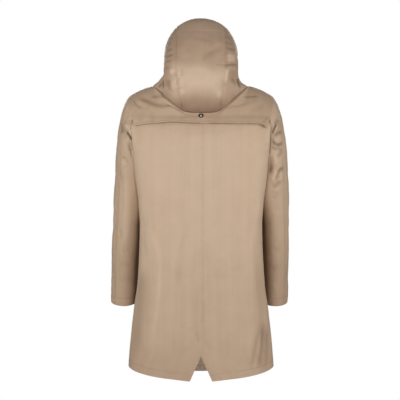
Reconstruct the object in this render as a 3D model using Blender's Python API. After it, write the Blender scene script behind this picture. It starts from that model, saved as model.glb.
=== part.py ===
"""A long hooded rain parka, filled out as it is worn, with nothing inside it.

Metres, +Z up. The wearer faces -Y, so the back with its yoke, press stud and vent faces +Y.
The origin is the middle of the neckline, level with the two points where the hood meets the
shoulder seams, which is where the wearer's shoulders carry the coat.
"""

import math

import bmesh
import bpy
from mathutils import Vector

# Cloth and seams
CLOTH = 0.0015
SEAM_GAP = 0.0003
HALF_GAP = SEAM_GAP / 2

# Heights that the cut is built on
HEM_LEVEL = -0.899
HEM_DIP = 0.046
# How far the hem has dipped, by the turn from the side towards the centre back or front
HEM_COLUMNS = ("turn", "dip")
HEM_ROWS = (
    (0.0, 0.0),
    (20.0, 0.025),
    (36.0, 0.115),
    (44.0, 0.275),
    (50.0, 0.425),
    (56.0, 0.565),
    (62.0, 0.675),
    (68.0, 0.752),
    (76.0, 0.850),
    (81.0, 0.900),
    (86.0, 0.925),
    (90.0, 0.930),
)
HEM_RISE_REACH = 0.20
ARMPIT = -0.228
BACK_TOP = -0.112
YOKE_START = -0.1105
YOKE_EDGE = -0.1268
YOKE_EDGE_END_DROP = 0.006
YOKE_DROP_FROM = 0.75

# Body rings: a flattened round at each height, widest at its middle
BODY_COLUMNS = ("height", "half_width", "middle", "back", "front")
BODY_ROWS = (
    (-0.945, 0.2350, 0.000, 0.158, -0.155),
    (-0.824, 0.2275, 0.004, 0.154, -0.150),
    (-0.704, 0.2140, 0.010, 0.149, -0.145),
    (-0.645, 0.2055, 0.014, 0.147, -0.141),
    (-0.570, 0.2000, 0.018, 0.144, -0.138),
    (-0.450, 0.1965, 0.028, 0.141, -0.132),
    (-0.410, 0.1982, 0.032, 0.141, -0.132),
    (-0.369, 0.2012, 0.036, 0.141, -0.133),
    (-0.330, 0.2068, 0.040, 0.141, -0.134),
    (-0.288, 0.2125, 0.044, 0.141, -0.136),
    (-0.240, 0.2165, 0.048, 0.140, -0.135),
    (-0.206, 0.2215, 0.050, 0.138, -0.133),
    (-0.160, 0.2370, 0.051, 0.134, -0.127),
    (-0.127, 0.2540, 0.050, 0.125, -0.118),
    (-0.095, 0.2680, 0.048, 0.111, -0.104),
)
BACK_SQUARENESS = 5.0
FRONT_SQUARENESS = 2.1

# Seams round the body, in degrees from the side towards the centre back
CENTRE_BACK = 90.0
CENTRE_FRONT = -90.0
SIDE_SEAM = -10.0
BACK_ARMHOLE = 47.0
FRONT_ARMHOLE = -42.0
ARMHOLE_ROUNDING = 4.0
ARMHOLE_SLANT = 0.25

# Vent in the centre back of the hem
VENT_APEX = -0.860
VENT_HALF_WIDTH = 0.035

# Shoulder seam, from the neck point to the shoulder tip
NECK_POINT = Vector((0.154, 0.011, 0.0))
SHOULDER_TIP = Vector((0.231, -0.010, -0.031))
SHOULDER_ARCH = 0.005
SHOULDER_CLIMB = 0.10
BACK_AT_NECK = Vector((0.0, -0.25, 0.95))
FRONT_AT_NECK = Vector((0.0, 0.45, 0.90))

# Hood ribs: half loops that run from the middle line over the head to the front edge under the chin
NAPE = (0.108, -0.092)
NECK_FRONT = (-0.087, -0.085)
CHIN = (-0.112, -0.040)
HOOD_COLUMNS = ("share", "middle_y", "middle_z", "half_width", "lift", "panel_half_width", "squareness")
HOOD_ROWS = (
    (0.00, NAPE[0], NAPE[1], 0.154, 0.0885, 0.064, 2.3),
    (0.05, 0.121, -0.077, 0.138, 0.0950, 0.067, 2.5),
    (0.10, 0.134, -0.055, 0.1265, 0.0930, 0.071, 2.7),
    (0.15, 0.143, -0.031, 0.1230, 0.0850, 0.075, 2.8),
    (0.22, 0.151, 0.005, 0.1220, 0.0690, 0.079, 2.8),
    (0.36, 0.136, 0.085, 0.121, 0.0430, 0.083, 2.5),
    (0.50, 0.102, 0.155, 0.121, 0.0240, 0.083, 2.25),
    (0.62, 0.052, 0.203, 0.121, 0.0100, 0.081, 2.15),
    (0.72, -0.005, 0.222, 0.121, 0.0020, 0.078, 2.15),
    (0.86, -0.077, 0.214, 0.116, 0.0000, 0.074, 2.15),
    (1.00, -0.135, 0.187, 0.106, 0.0000, 0.070, 2.15),
)
# How the neckline climbs from the nape as it runs out to the shoulder: flat, then up from the seam
RISE_COLUMNS = ("out", "rise")
RISE_ROWS = (
    (0.00, 0.00),
    (0.20, 0.01),
    (0.38, 0.08),
    (0.55, 0.33),
    (0.70, 0.57),
    (0.85, 0.79),
    (1.00, 1.00),
)
HOOD_LENGTH = 0.5
CROWN_SEAM = 0.55
HOOD_ROW_COUNT = 20

# Sleeve rings, from the upper arm to the cuff
SLEEVE_COLUMNS = ("share", "x", "y", "z", "half_width", "half_depth", "tilt")
SLEEVE_ROWS = (
    (0.00, 0.2260, -0.018, -0.262, 0.0580, 0.079, 2.0),
    (0.20, 0.2320, -0.034, -0.345, 0.0565, 0.074, 5.0),
    (0.40, 0.2405, -0.055, -0.430, 0.0500, 0.068, 9.0),
    (0.67, 0.2475, -0.090, -0.555, 0.0458, 0.060, 13.0),
    (0.88, 0.2500, -0.116, -0.650, 0.0440, 0.053, 15.0),
    (1.00, 0.2510, -0.131, -0.705, 0.0430, 0.050, 16.0),
)
CAP_ROWS = 9
ARM_ROWS = 17
SLEEVE_CLEAR = 0.0030
CLEAR_BELOW = -0.165
CLEAR_BLEND = 0.035
CLEAR_ROUNDING = 0.02
CLEAR_FADE = 0.030
UPPER_START = Vector((0.75, 0.0, -0.66))
SIDE_START = Vector((0.90, 0.0, -0.40))
UNDER_START = Vector((0.15, 0.0, -1.0))
CAP_PULL = 0.55
CAP_FADE_ROWS = 2
BACK_SLEEVE_SEAM = 3

# Largest folds of a sleeve: where each lies round the arm and down it, and how it runs
FOLD_COLUMNS = ("angle", "height", "slope", "reach", "width", "depth")
SLEEVE_FOLDS = (
    (62.0, -0.150, -0.00050, 46.0, 0.013, -0.0060),
    (70.0, -0.205, 0.00060, 50.0, 0.016, 0.0040),
    (40.0, -0.285, 0.00055, 55.0, 0.018, -0.0030),
    (60.0, -0.395, -0.00045, 60.0, 0.020, -0.0028),
    (290.0, -0.405, 0.00050, 62.0, 0.018, -0.0045),
    (285.0, -0.450, -0.00030, 55.0, 0.020, 0.0035),
    (300.0, -0.175, 0.00070, 44.0, 0.015, -0.0050),
)

# Yoke flap and front placket
FLAP_STANDS_OFF = 0.0018
FLAP_BLEND = 0.016
PLACKET_HALF_WIDTH = 0.031
PLACKET_EASE = 0.00035

# Press stud on the yoke, just under the hood: radius and height of its turned outline
STUD_HEIGHT = -0.1015
STUD_LIFT = 0.0009
STUD_OUTLINE = (
    (0.0000, 0.0021),
    (0.0022, 0.0019),
    (0.0036, 0.0011),
    (0.0046, 0.0012),
    (0.0060, 0.0026),
    (0.0068, 0.0023),
    (0.0072, 0.0012),
    (0.0072, 0.0000),
    (0.0000, 0.0000),
)
STUD_STEPS = 20

# Rows of the panels: shares of the way from the hem to the armpit, then from the armpit to the yoke
LOWER_SHARES = (0.0, 0.0526, 0.105, 0.192, 0.281, 0.369, 0.473, 0.576, 0.665, 0.753, 0.842, 0.916, 0.975)
ARMHOLE_SHARES = (0.0, 0.02, 0.10, 0.28, 0.60, 1.0)
BACK_COLUMNS_ACROSS = 15
FRONT_COLUMNS_ACROSS = 11
YOKE_HALF_COLUMNS = 13
PLACKET_COLUMNS = 4
FLAP_ROWS = 2
UPPER_ROWS = 6

# Columns that meet at the neckline, counted from the nape round to the throat
HOOD_BACK_HALF = 3
HOOD_TO_SHOULDER = 5
HOOD_TO_THROAT = 7
BACK_NECK_SHARE = (HOOD_BACK_HALF + HOOD_TO_SHOULDER) / YOKE_HALF_COLUMNS
FRONT_NECK_SHARE = HOOD_TO_THROAT / FRONT_COLUMNS_ACROSS

# Finishes: colour, roughness, metallic
CLOTH_FINISH = ((0.53, 0.40, 0.29, 1.0), 0.55, 0.0)
METAL_FINISH = ((0.075, 0.06, 0.05, 1.0), 0.3, 1.0)

MATERIALS = {}
PARTS = None


class Profile:
    """Sizes read smoothly between the rows of a table, by the table's first column."""

    def __init__(self, names, rows):
        self.stops = [row[0] for row in rows]
        self.columns = {name: [row[i] for row in rows] for i, name in enumerate(names)}
        self.slopes = {name: self.slope_at_rows(name) for name in names}

    def slope_at_rows(self, name):
        values, stops = self.columns[name], self.stops
        steps = [
            (values[i + 1] - values[i]) / (stops[i + 1] - stops[i]) for i in range(len(stops) - 1)
        ]
        inner = [(a + b) / 2 if a * b > 0 else 0.0 for a, b in zip(steps, steps[1:])]
        return [steps[0], *inner, steps[-1]]

    def read(self, name, at):
        stops, values, slopes = self.stops, self.columns[name], self.slopes[name]
        if at <= stops[0]:
            return values[0] + slopes[0] * (at - stops[0])
        if at >= stops[-1]:
            return values[-1] + slopes[-1] * (at - stops[-1])
        i = max(k for k in range(len(stops) - 1) if stops[k] <= at)
        span = stops[i + 1] - stops[i]
        t = (at - stops[i]) / span
        rise = t * t * (3 - 2 * t)
        lead = t * (1 - t) * (1 - t) * span * slopes[i]
        trail = t * t * (t - 1) * span * slopes[i + 1]
        return values[i] + (values[i + 1] - values[i]) * rise + lead + trail


BODY = Profile(BODY_COLUMNS, BODY_ROWS)
HOOD = Profile(HOOD_COLUMNS, HOOD_ROWS)
SLEEVE = Profile(SLEEVE_COLUMNS, SLEEVE_ROWS)
RISE = Profile(RISE_COLUMNS, RISE_ROWS)
HEM = Profile(HEM_COLUMNS, HEM_ROWS)


def mix(a, b, share):
    return a + (b - a) * share


def ease(share):
    share = min(1.0, max(0.0, share))
    return share * share * (3 - 2 * share)


def squared(angle, squareness):
    """How far a rounded-square loop stands out from the plain ellipse at this angle."""
    c, s = abs(math.cos(angle)), abs(math.sin(angle))
    return (c**squareness + s**squareness) ** (-1 / squareness)


def bridge(start, start_way, end, end_way, share):
    """A smooth curve between two points that leaves and arrives along the two ways."""
    reach = (end - start).length
    t = share
    rise = t * t * (3 - 2 * t)
    lead = t * (1 - t) * (1 - t) * reach
    trail = t * t * (t - 1) * reach
    return start + (end - start) * rise + start_way * lead + end_way * trail


# The body


def body_point(turn, height):
    """A point of the body's outer face on the +X side. turn is in degrees, 90 at the centre back."""
    angle = math.radians(turn)
    back = turn > 0
    middle = BODY.read("middle", height)
    depth = BODY.read("back", height) - middle if back else middle - BODY.read("front", height)
    stand = squared(angle, BACK_SQUARENESS if back else FRONT_SQUARENESS)
    x = BODY.read("half_width", height) * math.cos(angle) * stand
    return Vector((x, middle + depth * math.sin(angle) * stand, height))


def body_way_up(turn, height, step=0.004):
    return (body_point(turn, height) - body_point(turn, height - step)).normalized()


def hem_height(turn):
    return HEM_LEVEL - HEM_DIP * HEM.read("dip", abs(turn))


def dipped(turn, height):
    """The height of a row at this turn: rows near the hem follow its dip at back and front."""
    near = 1 - ease((height - HEM_LEVEL) / HEM_RISE_REACH)
    return height + (hem_height(turn) - HEM_LEVEL) * near


def armhole_turn(height, upper_turn):
    """Where the armhole's edge stands at this height: a U that opens upwards from the armpit."""
    share = min(1.0, max(0.0, (height - ARMPIT) / (YOKE_START - ARMPIT)))
    opened = (1 - (1 - share) ** ARMHOLE_ROUNDING) ** (1 / ARMHOLE_ROUNDING)
    return mix(SIDE_SEAM, upper_turn, mix(opened, share, ARMHOLE_SLANT))


def panel_heights():
    """The heights of the rows from the hem to the line where the shoulders start."""
    lower = [mix(HEM_LEVEL, ARMPIT, share) for share in LOWER_SHARES]
    upper = [mix(ARMPIT, YOKE_START, share) for share in ARMHOLE_SHARES]
    return lower + upper


HEIGHTS = panel_heights()
ARMPIT_ROW = len(LOWER_SHARES)


def row_height(along, last=None):
    """The height at a share of the way up the rows, which may end at another last height."""
    heights = HEIGHTS if last is None else [*HEIGHTS[:-1], last]
    place = along * (len(heights) - 1)
    i = min(int(place + 1e-9), len(heights) - 2)
    return mix(heights[i], heights[i + 1], place - i)


def inset(edge_turn, other_turn, height, gap=HALF_GAP):
    """A seam's turn, moved by half the seam's gap towards the panel's other edge."""
    a, b = body_point(edge_turn, height), body_point(edge_turn + 0.1, height)
    degrees = gap / (b - a).length * 0.1
    return edge_turn + math.copysign(degrees, other_turn - edge_turn)


def vent_turn(height):
    """How far the vent's edge stands from the centre back at this height, in degrees."""
    open_share = max(0.0, (VENT_APEX - height) / (VENT_APEX - hem_height(CENTRE_BACK)))
    half_width = VENT_HALF_WIDTH * open_share
    return math.degrees(half_width / BODY.read("half_width", height))


def back_surface(across, along):
    """The half of the back on the +X side, below the yoke: across from the centre seam to the side."""
    height = row_height(along, BACK_TOP)
    centre = inset(CENTRE_BACK, SIDE_SEAM, height)
    edge = inset(armhole_turn(height, BACK_ARMHOLE), CENTRE_BACK, height)
    level = dipped(mix(centre, edge, across), height)
    turn = mix(centre - vent_turn(level), edge, across)
    return body_point(turn, dipped(turn, height))


def neckline(angle):
    """A point of the neckline, the hood's first rib, on the +X side: 0 at the nape, 180 at the throat."""
    return hood_point(0.0, angle)


def shoulder_seam(share):
    point = NECK_POINT.lerp(SHOULDER_TIP, share)
    point.z += SHOULDER_ARCH * 4 * share * (1 - share)
    return point


def back_neck_angle(share):
    """The neckline's angle at a share of the way from the nape to the neck point."""
    seam = panel_angle(0.0)
    place = share * (HOOD_BACK_HALF + HOOD_TO_SHOULDER)
    if place <= HOOD_BACK_HALF:
        return seam * place / HOOD_BACK_HALF
    return mix(seam, 90.0, (place - HOOD_BACK_HALF) / HOOD_TO_SHOULDER)


def front_neck_angle(share):
    return mix(180.0, 90.0, share)


def top_edge(across, neck_share, neck_angle):
    """The upper edge of the back or front: along the neckline, then out along the shoulder seam."""
    if across <= neck_share:
        return neckline(neck_angle(across / neck_share))
    return shoulder_seam((across - neck_share) / (1 - neck_share))


def way_over(across, neck_share, at_neck, forward):
    """Which way the cloth runs where it reaches the upper edge: up the neck, or over the shoulder."""
    over = Vector((0.0, forward, SHOULDER_CLIMB * (1 - across)))
    return at_neck.lerp(over, ease(across / neck_share)).normalized()


def shoulder_surface(across, share, upper_turn, centre_turn, neck_share, neck_angle, at_neck, forward):
    turn = mix(centre_turn, upper_turn, across)
    start = body_point(turn, YOKE_START)
    end = top_edge(across, neck_share, neck_angle)
    return bridge(
        start,
        body_way_up(turn, YOKE_START),
        end,
        way_over(across, neck_share, at_neck, forward),
        share,
    )


def upper_back(across, share):
    return shoulder_surface(
        across,
        share,
        BACK_ARMHOLE,
        CENTRE_BACK,
        BACK_NECK_SHARE,
        back_neck_angle,
        BACK_AT_NECK,
        -1.0,
    )


def upper_front(across, share):
    return shoulder_surface(
        across,
        share,
        FRONT_ARMHOLE,
        CENTRE_FRONT,
        FRONT_NECK_SHARE,
        front_neck_angle,
        FRONT_AT_NECK,
        1.0,
    )


def front_surface(across, along):
    """The half of the front on the +X side: across from the centre front to the side and armhole."""
    rows = len(HEIGHTS) - 1
    place = along * (rows + UPPER_ROWS)
    if place > rows:
        gap = HALF_GAP / NECK_POINT.x
        top = 1 - HALF_GAP / abs(YOKE_START)
        return upper_front(mix(gap, 1 - gap, across), (place - rows) / UPPER_ROWS * top)
    height = row_height(place / rows)
    centre = inset(CENTRE_FRONT, SIDE_SEAM, height)
    edge = inset(armhole_turn(height, FRONT_ARMHOLE), CENTRE_FRONT, height)
    turn = mix(centre, edge, across)
    return body_point(turn, dipped(turn, height))


def yoke_edge_height(across):
    return YOKE_EDGE - YOKE_EDGE_END_DROP * ease((across - YOKE_DROP_FROM) / (1 - YOKE_DROP_FROM))


def yoke_base(across, along):
    """The yoke's line on the body: below the shoulder line it is the flap that lies over the back."""
    place = along * (UPPER_ROWS + FLAP_ROWS)
    if place < FLAP_ROWS:
        height = mix(yoke_edge_height(across), YOKE_START, place / FLAP_ROWS)
        return body_point(mix(CENTRE_BACK, BACK_ARMHOLE, across), height)
    top = 1 - HALF_GAP / abs(YOKE_START)
    return upper_back(across, (place - FLAP_ROWS) / UPPER_ROWS * top)


def yoke_half(across, along):
    """The yoke on the +X side, stood off the back where its flap lies over it."""
    across = across * (1 - HALF_GAP / NECK_POINT.x)
    point = yoke_base(across, along)
    start = yoke_base(across, 0.0)
    over = BACK_TOP - start.z + FLAP_BLEND
    near = 1 - ease(((point.z - start.z) - (over - FLAP_BLEND)) / FLAP_BLEND)
    lifted = (CLOTH + SEAM_GAP + FLAP_STANDS_OFF * (1 - ease((point.z - start.z) / over))) * near
    return point + surface_normal(yoke_base, across, max(along, 0.01), -1) * lifted


def yoke_surface(across, along):
    side = 2 * across - 1
    point = yoke_half(abs(side), along)
    return Vector((math.copysign(point.x, side), point.y, point.z))


def placket_surface(across, along):
    """A straight strip over the centre front, from the hem to just under the neckline."""
    x = mix(-PLACKET_HALF_WIDTH, PLACKET_HALF_WIDTH, across)
    rows = len(HEIGHTS) - 1
    place = along * (rows + UPPER_ROWS - 1)
    if place > rows:
        share = (place - rows) / UPPER_ROWS
        side = 0.1
        for _ in range(8):
            side *= abs(x) / upper_front(side, share).x
        point = upper_front(side, share)
        normal = surface_normal(upper_front, side, share, 1)
    else:
        height = row_height(place / rows)
        turn = CENTRE_FRONT + math.degrees(abs(x) / BODY.read("half_width", height))
        point = body_point(turn, dipped(turn, height))
        normal = Vector((0, -1, 0))
    lifted = point + normal * (CLOTH + SEAM_GAP + PLACKET_EASE * max(0.0, place - rows))
    return Vector((x, lifted.y, lifted.z))


# The hood


def hood_point(share, angle):
    """A point of the hood on the +X side. share runs from the neckline to the face, angle from the
    middle line (0) round the side to the front edge (180)."""
    turn = math.radians(angle)
    middle_y, middle_z = HOOD.read("middle_y", share), HOOD.read("middle_z", share)
    end_y, end_z = (mix(a, b, share) for a, b in zip(NECK_FRONT, CHIN))
    stand = squared(turn, HOOD.read("squareness", share))
    out, along = math.sin(turn) * stand, math.cos(turn) * stand
    lift = HOOD.read("lift", share) * RISE.read("rise", abs(out))
    return Vector(
        (
            HOOD.read("half_width", share) * out,
            (middle_y + end_y) / 2 + (middle_y - end_y) / 2 * along,
            (middle_z + end_z) / 2 + (middle_z - end_z) / 2 * along + lift,
        )
    )


def panel_angle(share):
    """The angle of the seam between the hood's middle panel and its side."""
    squareness = HOOD.read("squareness", share)
    part = (HOOD.read("panel_half_width", share) / HOOD.read("half_width", share)) ** squareness
    return math.degrees(math.atan((part / (1 - part)) ** (1 / squareness)))


def hood_middle(across, share):
    side = 2 * across - 1
    angle = panel_angle(share) * abs(side) * (1 - HALF_GAP / HOOD.read("panel_half_width", share))
    point = hood_point(share, angle)
    return Vector((math.copysign(point.x, side), point.y, point.z))


def hood_back_surface(across, along):
    return hood_middle(across, mix(SEAM_GAP / HOOD_LENGTH, CROWN_SEAM - HALF_GAP / HOOD_LENGTH, along))


def hood_crown_surface(across, along):
    return hood_middle(across, mix(CROWN_SEAM + HALF_GAP / HOOD_LENGTH, 1.0, along))


def hood_side_surface(across, along):
    """The hood's side on the +X side: across from the middle panel's seam to the front edge."""
    share = mix(SEAM_GAP / HOOD_LENGTH, 1.0, along)
    first = panel_angle(share) + math.degrees(HALF_GAP / HOOD.read("half_width", share))
    last = 180.0 - math.degrees(HALF_GAP / HOOD.read("half_width", share))
    place = across * (HOOD_TO_SHOULDER + HOOD_TO_THROAT)
    if place <= HOOD_TO_SHOULDER:
        return hood_point(share, mix(first, 90.0, place / HOOD_TO_SHOULDER))
    return hood_point(share, mix(90.0, last, (place - HOOD_TO_SHOULDER) / HOOD_TO_THROAT))


# The sleeves


def armhole_loop():
    """The armhole's points on the +X side, from the shoulder tip down the back and up the front again."""
    rise = [row / UPPER_ROWS for row in range(UPPER_ROWS, 0, -1)]
    levels = HEIGHTS[ARMPIT_ROW:]
    back = [body_point(armhole_turn(h, BACK_ARMHOLE), h) for h in reversed(levels)]
    front = [body_point(armhole_turn(h, FRONT_ARMHOLE), h) for h in levels]
    over_back = [upper_back(1.0, share) for share in rise]
    over_front = [upper_front(1.0, share) for share in reversed(rise)]
    return [*over_back, *back, *front[1:], *over_front[:-1]]


ARMHOLE = armhole_loop()
SLEEVE_TURNS = len(ARMHOLE)
ARMPIT_COLUMN = UPPER_ROWS + len(ARMHOLE_SHARES) - 1


def column_angle(column):
    """Where a sleeve's column lies round the arm: 0 outside, 90 back, 180 under the arm, 270 front."""
    if column <= ARMPIT_COLUMN:
        return 180.0 * column / ARMPIT_COLUMN
    return 180.0 + 180.0 * (column - ARMPIT_COLUMN) / (SLEEVE_TURNS - ARMPIT_COLUMN)


def armhole_point(column):
    i = int(column + 1e-9)
    a, b = ARMHOLE[i % SLEEVE_TURNS], ARMHOLE[(i + 1) % SLEEVE_TURNS]
    return a.lerp(b, column - i)


def arm_point(share, angle):
    """A point of the sleeve's ring at a share of the way from the upper arm to the cuff."""
    turn = math.radians(angle)
    across = SLEEVE.read("half_width", share) * math.cos(turn)
    deep = SLEEVE.read("half_depth", share) * math.sin(turn)
    drop = math.tan(math.radians(SLEEVE.read("tilt", share))) * deep
    return Vector(
        (
            SLEEVE.read("x", share) + across,
            SLEEVE.read("y", share) + deep,
            SLEEVE.read("z", share) - drop,
        )
    )


def clear_of_body(point):
    """The point, moved out where the sleeve would lie in the body that it hangs against."""
    if point.z > YOKE_START:
        return point
    middle = BODY.read("middle", point.z)
    back = point.y > middle
    depth = BODY.read("back", point.z) - middle if back else middle - BODY.read("front", point.z)
    squareness = BACK_SQUARENESS if back else FRONT_SQUARENESS
    width = BODY.read("half_width", point.z)
    level = (
        (abs(point.x) / width) ** squareness + (abs(point.y - middle) / depth) ** squareness
    ) ** (1 / squareness)
    least = 1 + SLEEVE_CLEAR / width * ease((CLEAR_BELOW - point.z) / CLEAR_BLEND)
    short = least / level - 1
    push = (short + math.hypot(short, CLEAR_ROUNDING)) / 2
    out = 1 + push * ease((YOKE_START - point.z) / CLEAR_FADE)
    return Vector((point.x * out, middle + (point.y - middle) * out, point.z))


def sleeve_fold(angle, height):
    """How far the sleeve's largest folds lift the cloth here."""
    lift = 0.0
    for row in SLEEVE_FOLDS:
        fold = dict(zip(FOLD_COLUMNS, row))
        round_by = (angle - fold["angle"] + 180.0) % 360.0 - 180.0
        off = height - fold["height"] - fold["slope"] * round_by
        lift += (
            fold["depth"]
            * math.exp(-((off / fold["width"]) ** 2))
            * math.exp(-((round_by / fold["reach"]) ** 2) * 2)
        )
    return lift


def sleeve_base(column, along):
    """The +X sleeve before its folds: the cap from the armhole, then the rings down the arm."""
    angle = column_angle(column)
    place = along * (CAP_ROWS + ARM_ROWS)
    if place >= CAP_ROWS:
        return clear_of_body(arm_point((place - CAP_ROWS) / ARM_ROWS, angle))
    upper = math.cos(math.radians(angle / 2)) ** 2
    beside = math.sin(math.radians(angle)) ** 2
    start_way = UNDER_START.lerp(UPPER_START, upper).lerp(SIDE_START, beside).normalized()
    end = arm_point(0.0, angle)
    end_way = (arm_point(0.05, angle) - end).normalized()
    hole = armhole_point(column)
    out = Vector((hole.x, hole.y - BODY.read("middle", hole.z), 0)).normalized()
    below = ease((CLEAR_BELOW - hole.z) / CLEAR_BLEND)
    start = hole + start_way * (2 * SEAM_GAP) + out * SLEEVE_CLEAR * below
    point = bridge(start, start_way * CAP_PULL, end, end_way, place / CAP_ROWS)
    return clear_of_body(point)


def sleeve_surface(column, along):
    point = sleeve_base(column, along)
    angle = column_angle(column)
    fade = ease(along * (CAP_ROWS + ARM_ROWS) / CAP_FADE_ROWS)
    outside = ease((math.cos(math.radians(angle - 20)) + 0.6) / 0.8)
    lift = sleeve_fold(angle, point.z) * fade * outside
    return point + surface_normal(sleeve_base, column, max(along, 0.02), -1, (0.02, 0.004)) * lift


def sleeve_piece(first, last):
    """The surface of one piece of the +X sleeve, between two of its columns."""

    def seam_inset(column, towards, along):
        step = sleeve_base(column + towards * 0.2, along) - sleeve_base(column, along)
        down = sleeve_base(column, min(1.0, along + 0.01)) - sleeve_base(column, max(0.0, along - 0.01))
        across_seam = (step - step.project(down)).length
        return column + towards * 0.2 * HALF_GAP / across_seam

    def surface(across, along):
        start, end = seam_inset(first, 1, along), seam_inset(last, -1, along)
        return sleeve_surface(mix(start, end, across), along)

    return surface


# Walls


def surface_normal(surface, across, along, sign, steps=(0.002, 0.002)):
    """The surface's outward direction, from points a small step to each side."""
    da, dl = steps
    a = surface(across + da, along) - surface(across - da, along)
    b = surface(across, min(1.0, along + dl)) - surface(across, max(0.0, along - dl))
    return a.cross(b).normalized() * sign


def material(name, finish):
    colour, roughness, metallic = finish
    made = bpy.data.materials.new(name)
    made.use_nodes = True
    shader = made.node_tree.nodes["Principled BSDF"]
    shader.inputs["Base Color"].default_value = colour
    shader.inputs["Roughness"].default_value = roughness
    shader.inputs["Metallic"].default_value = metallic
    made.diffuse_color = colour
    return made


def add_object(name, bm, finish):
    bmesh.ops.recalc_face_normals(bm, faces=bm.faces)
    if bm.calc_volume(signed=True) < 0:
        bmesh.ops.reverse_faces(bm, faces=bm.faces)
    mesh = bpy.data.meshes.new(name)
    bm.to_mesh(mesh)
    bm.free()
    mesh.materials.append(MATERIALS[finish])
    mesh.shade_smooth()
    mesh.set_sharp_from_angle(angle=math.radians(40))
    obj = bpy.data.objects.new(name, mesh)
    PARTS.objects.link(obj)
    return obj


def cloth_panel(name, surface, columns, rows, sign, side=1):
    """A flat slab of cloth, bent so that its upper face lies on the surface. side -1 mirrors it."""
    bm = bmesh.new()
    bmesh.ops.create_grid(bm, x_segments=columns, y_segments=rows, size=0.5)
    grown = bmesh.ops.extrude_face_region(bm, geom=bm.faces[:], use_keep_orig=True)
    under = [item for item in grown["geom"] if isinstance(item, bmesh.types.BMVert)]
    bmesh.ops.translate(bm, verts=under, vec=(0, 0, -1))
    for vert in bm.verts:
        across, along, deep = vert.co.x + 0.5, vert.co.y + 0.5, -vert.co.z
        point = surface(across, along) - surface_normal(surface, across, along, sign) * CLOTH * deep
        vert.co = (point.x * side, point.y, point.z)
    return add_object(name, bm, "rain_cloth")


def body_panels():
    body_rows = len(HEIGHTS) - 1
    for name, side in (("left", 1), ("right", -1)):
        cloth_panel(f"back_{name}", back_surface, BACK_COLUMNS_ACROSS, body_rows, -1, side)
        cloth_panel(
            f"front_{name}", front_surface, FRONT_COLUMNS_ACROSS, body_rows + UPPER_ROWS, 1, side
        )
    cloth_panel("back_yoke", yoke_surface, 2 * YOKE_HALF_COLUMNS, UPPER_ROWS + FLAP_ROWS, -1)
    cloth_panel("front_placket", placket_surface, PLACKET_COLUMNS, body_rows + UPPER_ROWS - 1, 1)


def hood_panels():
    crown_row = round(CROWN_SEAM * HOOD_ROW_COUNT)
    cloth_panel("hood_back", hood_back_surface, 2 * HOOD_BACK_HALF, crown_row, -1)
    cloth_panel("hood_crown", hood_crown_surface, 2 * HOOD_BACK_HALF, HOOD_ROW_COUNT - crown_row, -1)
    columns = HOOD_TO_SHOULDER + HOOD_TO_THROAT
    for name, side in (("left", 1), ("right", -1)):
        cloth_panel(f"hood_side_{name}", hood_side_surface, columns, HOOD_ROW_COUNT, -1, side)


def sleeve_panels():
    """Each sleeve is a back and a front piece, sewn together behind the arm and under it."""
    rows = CAP_ROWS + ARM_ROWS
    seams = (BACK_SLEEVE_SEAM, ARMPIT_COLUMN, BACK_SLEEVE_SEAM + SLEEVE_TURNS)
    for place, first, last in zip(("back", "front"), seams, seams[1:]):
        surface = sleeve_piece(first, last)
        for name, side in (("left", 1), ("right", -1)):
            cloth_panel(f"sleeve_{name}_{place}", surface, last - first, rows, -1, side)


def press_stud():
    """The turned metal cap on the yoke, standing along the yoke's own outward direction."""
    bm = bmesh.new()
    verts = [bm.verts.new((radius, 0.0, height)) for radius, height in STUD_OUTLINE]
    edges = [bm.edges.new(pair) for pair in zip(verts, verts[1:])]
    bmesh.ops.spin(
        bm,
        geom=verts + edges,
        cent=(0, 0, 0),
        axis=(0, 0, 1),
        angle=2 * math.pi,
        steps=STUD_STEPS,
        use_merge=True,
    )
    bmesh.ops.remove_doubles(bm, verts=bm.verts, dist=1e-6)
    along = 0.5
    for _ in range(40):
        along += (STUD_HEIGHT - yoke_surface(0.5, along).z) * 5
    seat = yoke_surface(0.5, along)
    normal = surface_normal(yoke_surface, 0.5, along, -1, (0.01, 0.02))
    turn = normal.to_track_quat("Z", "Y").to_matrix().to_4x4()
    bmesh.ops.transform(bm, matrix=turn, verts=bm.verts)
    bmesh.ops.translate(bm, verts=bm.verts, vec=seat + normal * STUD_LIFT)
    return add_object("press_stud", bm, "stud_metal")


def main():
    global PARTS
    for obj in list(bpy.data.objects):
        bpy.data.objects.remove(obj)
    PARTS = bpy.data.collections.new("parka")
    bpy.context.scene.collection.children.link(PARTS)
    MATERIALS["rain_cloth"] = material("rain_cloth", CLOTH_FINISH)
    MATERIALS["stud_metal"] = material("stud_metal", METAL_FINISH)
    body_panels()
    hood_panels()
    sleeve_panels()
    press_stud()


main()
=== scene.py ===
import math

import bmesh
import bpy
import numpy as np
from mathutils import Matrix, Vector, noise


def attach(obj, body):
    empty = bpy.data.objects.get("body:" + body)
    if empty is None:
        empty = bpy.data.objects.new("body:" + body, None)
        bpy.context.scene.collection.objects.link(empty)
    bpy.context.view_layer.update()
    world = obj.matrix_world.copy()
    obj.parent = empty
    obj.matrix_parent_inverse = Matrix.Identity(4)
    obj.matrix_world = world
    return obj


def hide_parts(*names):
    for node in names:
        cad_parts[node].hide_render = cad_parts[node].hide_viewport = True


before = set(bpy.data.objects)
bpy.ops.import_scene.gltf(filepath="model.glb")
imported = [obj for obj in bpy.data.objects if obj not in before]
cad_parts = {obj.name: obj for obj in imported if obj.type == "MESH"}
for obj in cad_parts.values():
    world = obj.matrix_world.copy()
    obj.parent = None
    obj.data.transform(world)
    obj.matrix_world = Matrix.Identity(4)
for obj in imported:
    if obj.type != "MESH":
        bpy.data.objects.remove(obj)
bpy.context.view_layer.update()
print("frame loaded,", len(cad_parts), "nodes")


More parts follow.
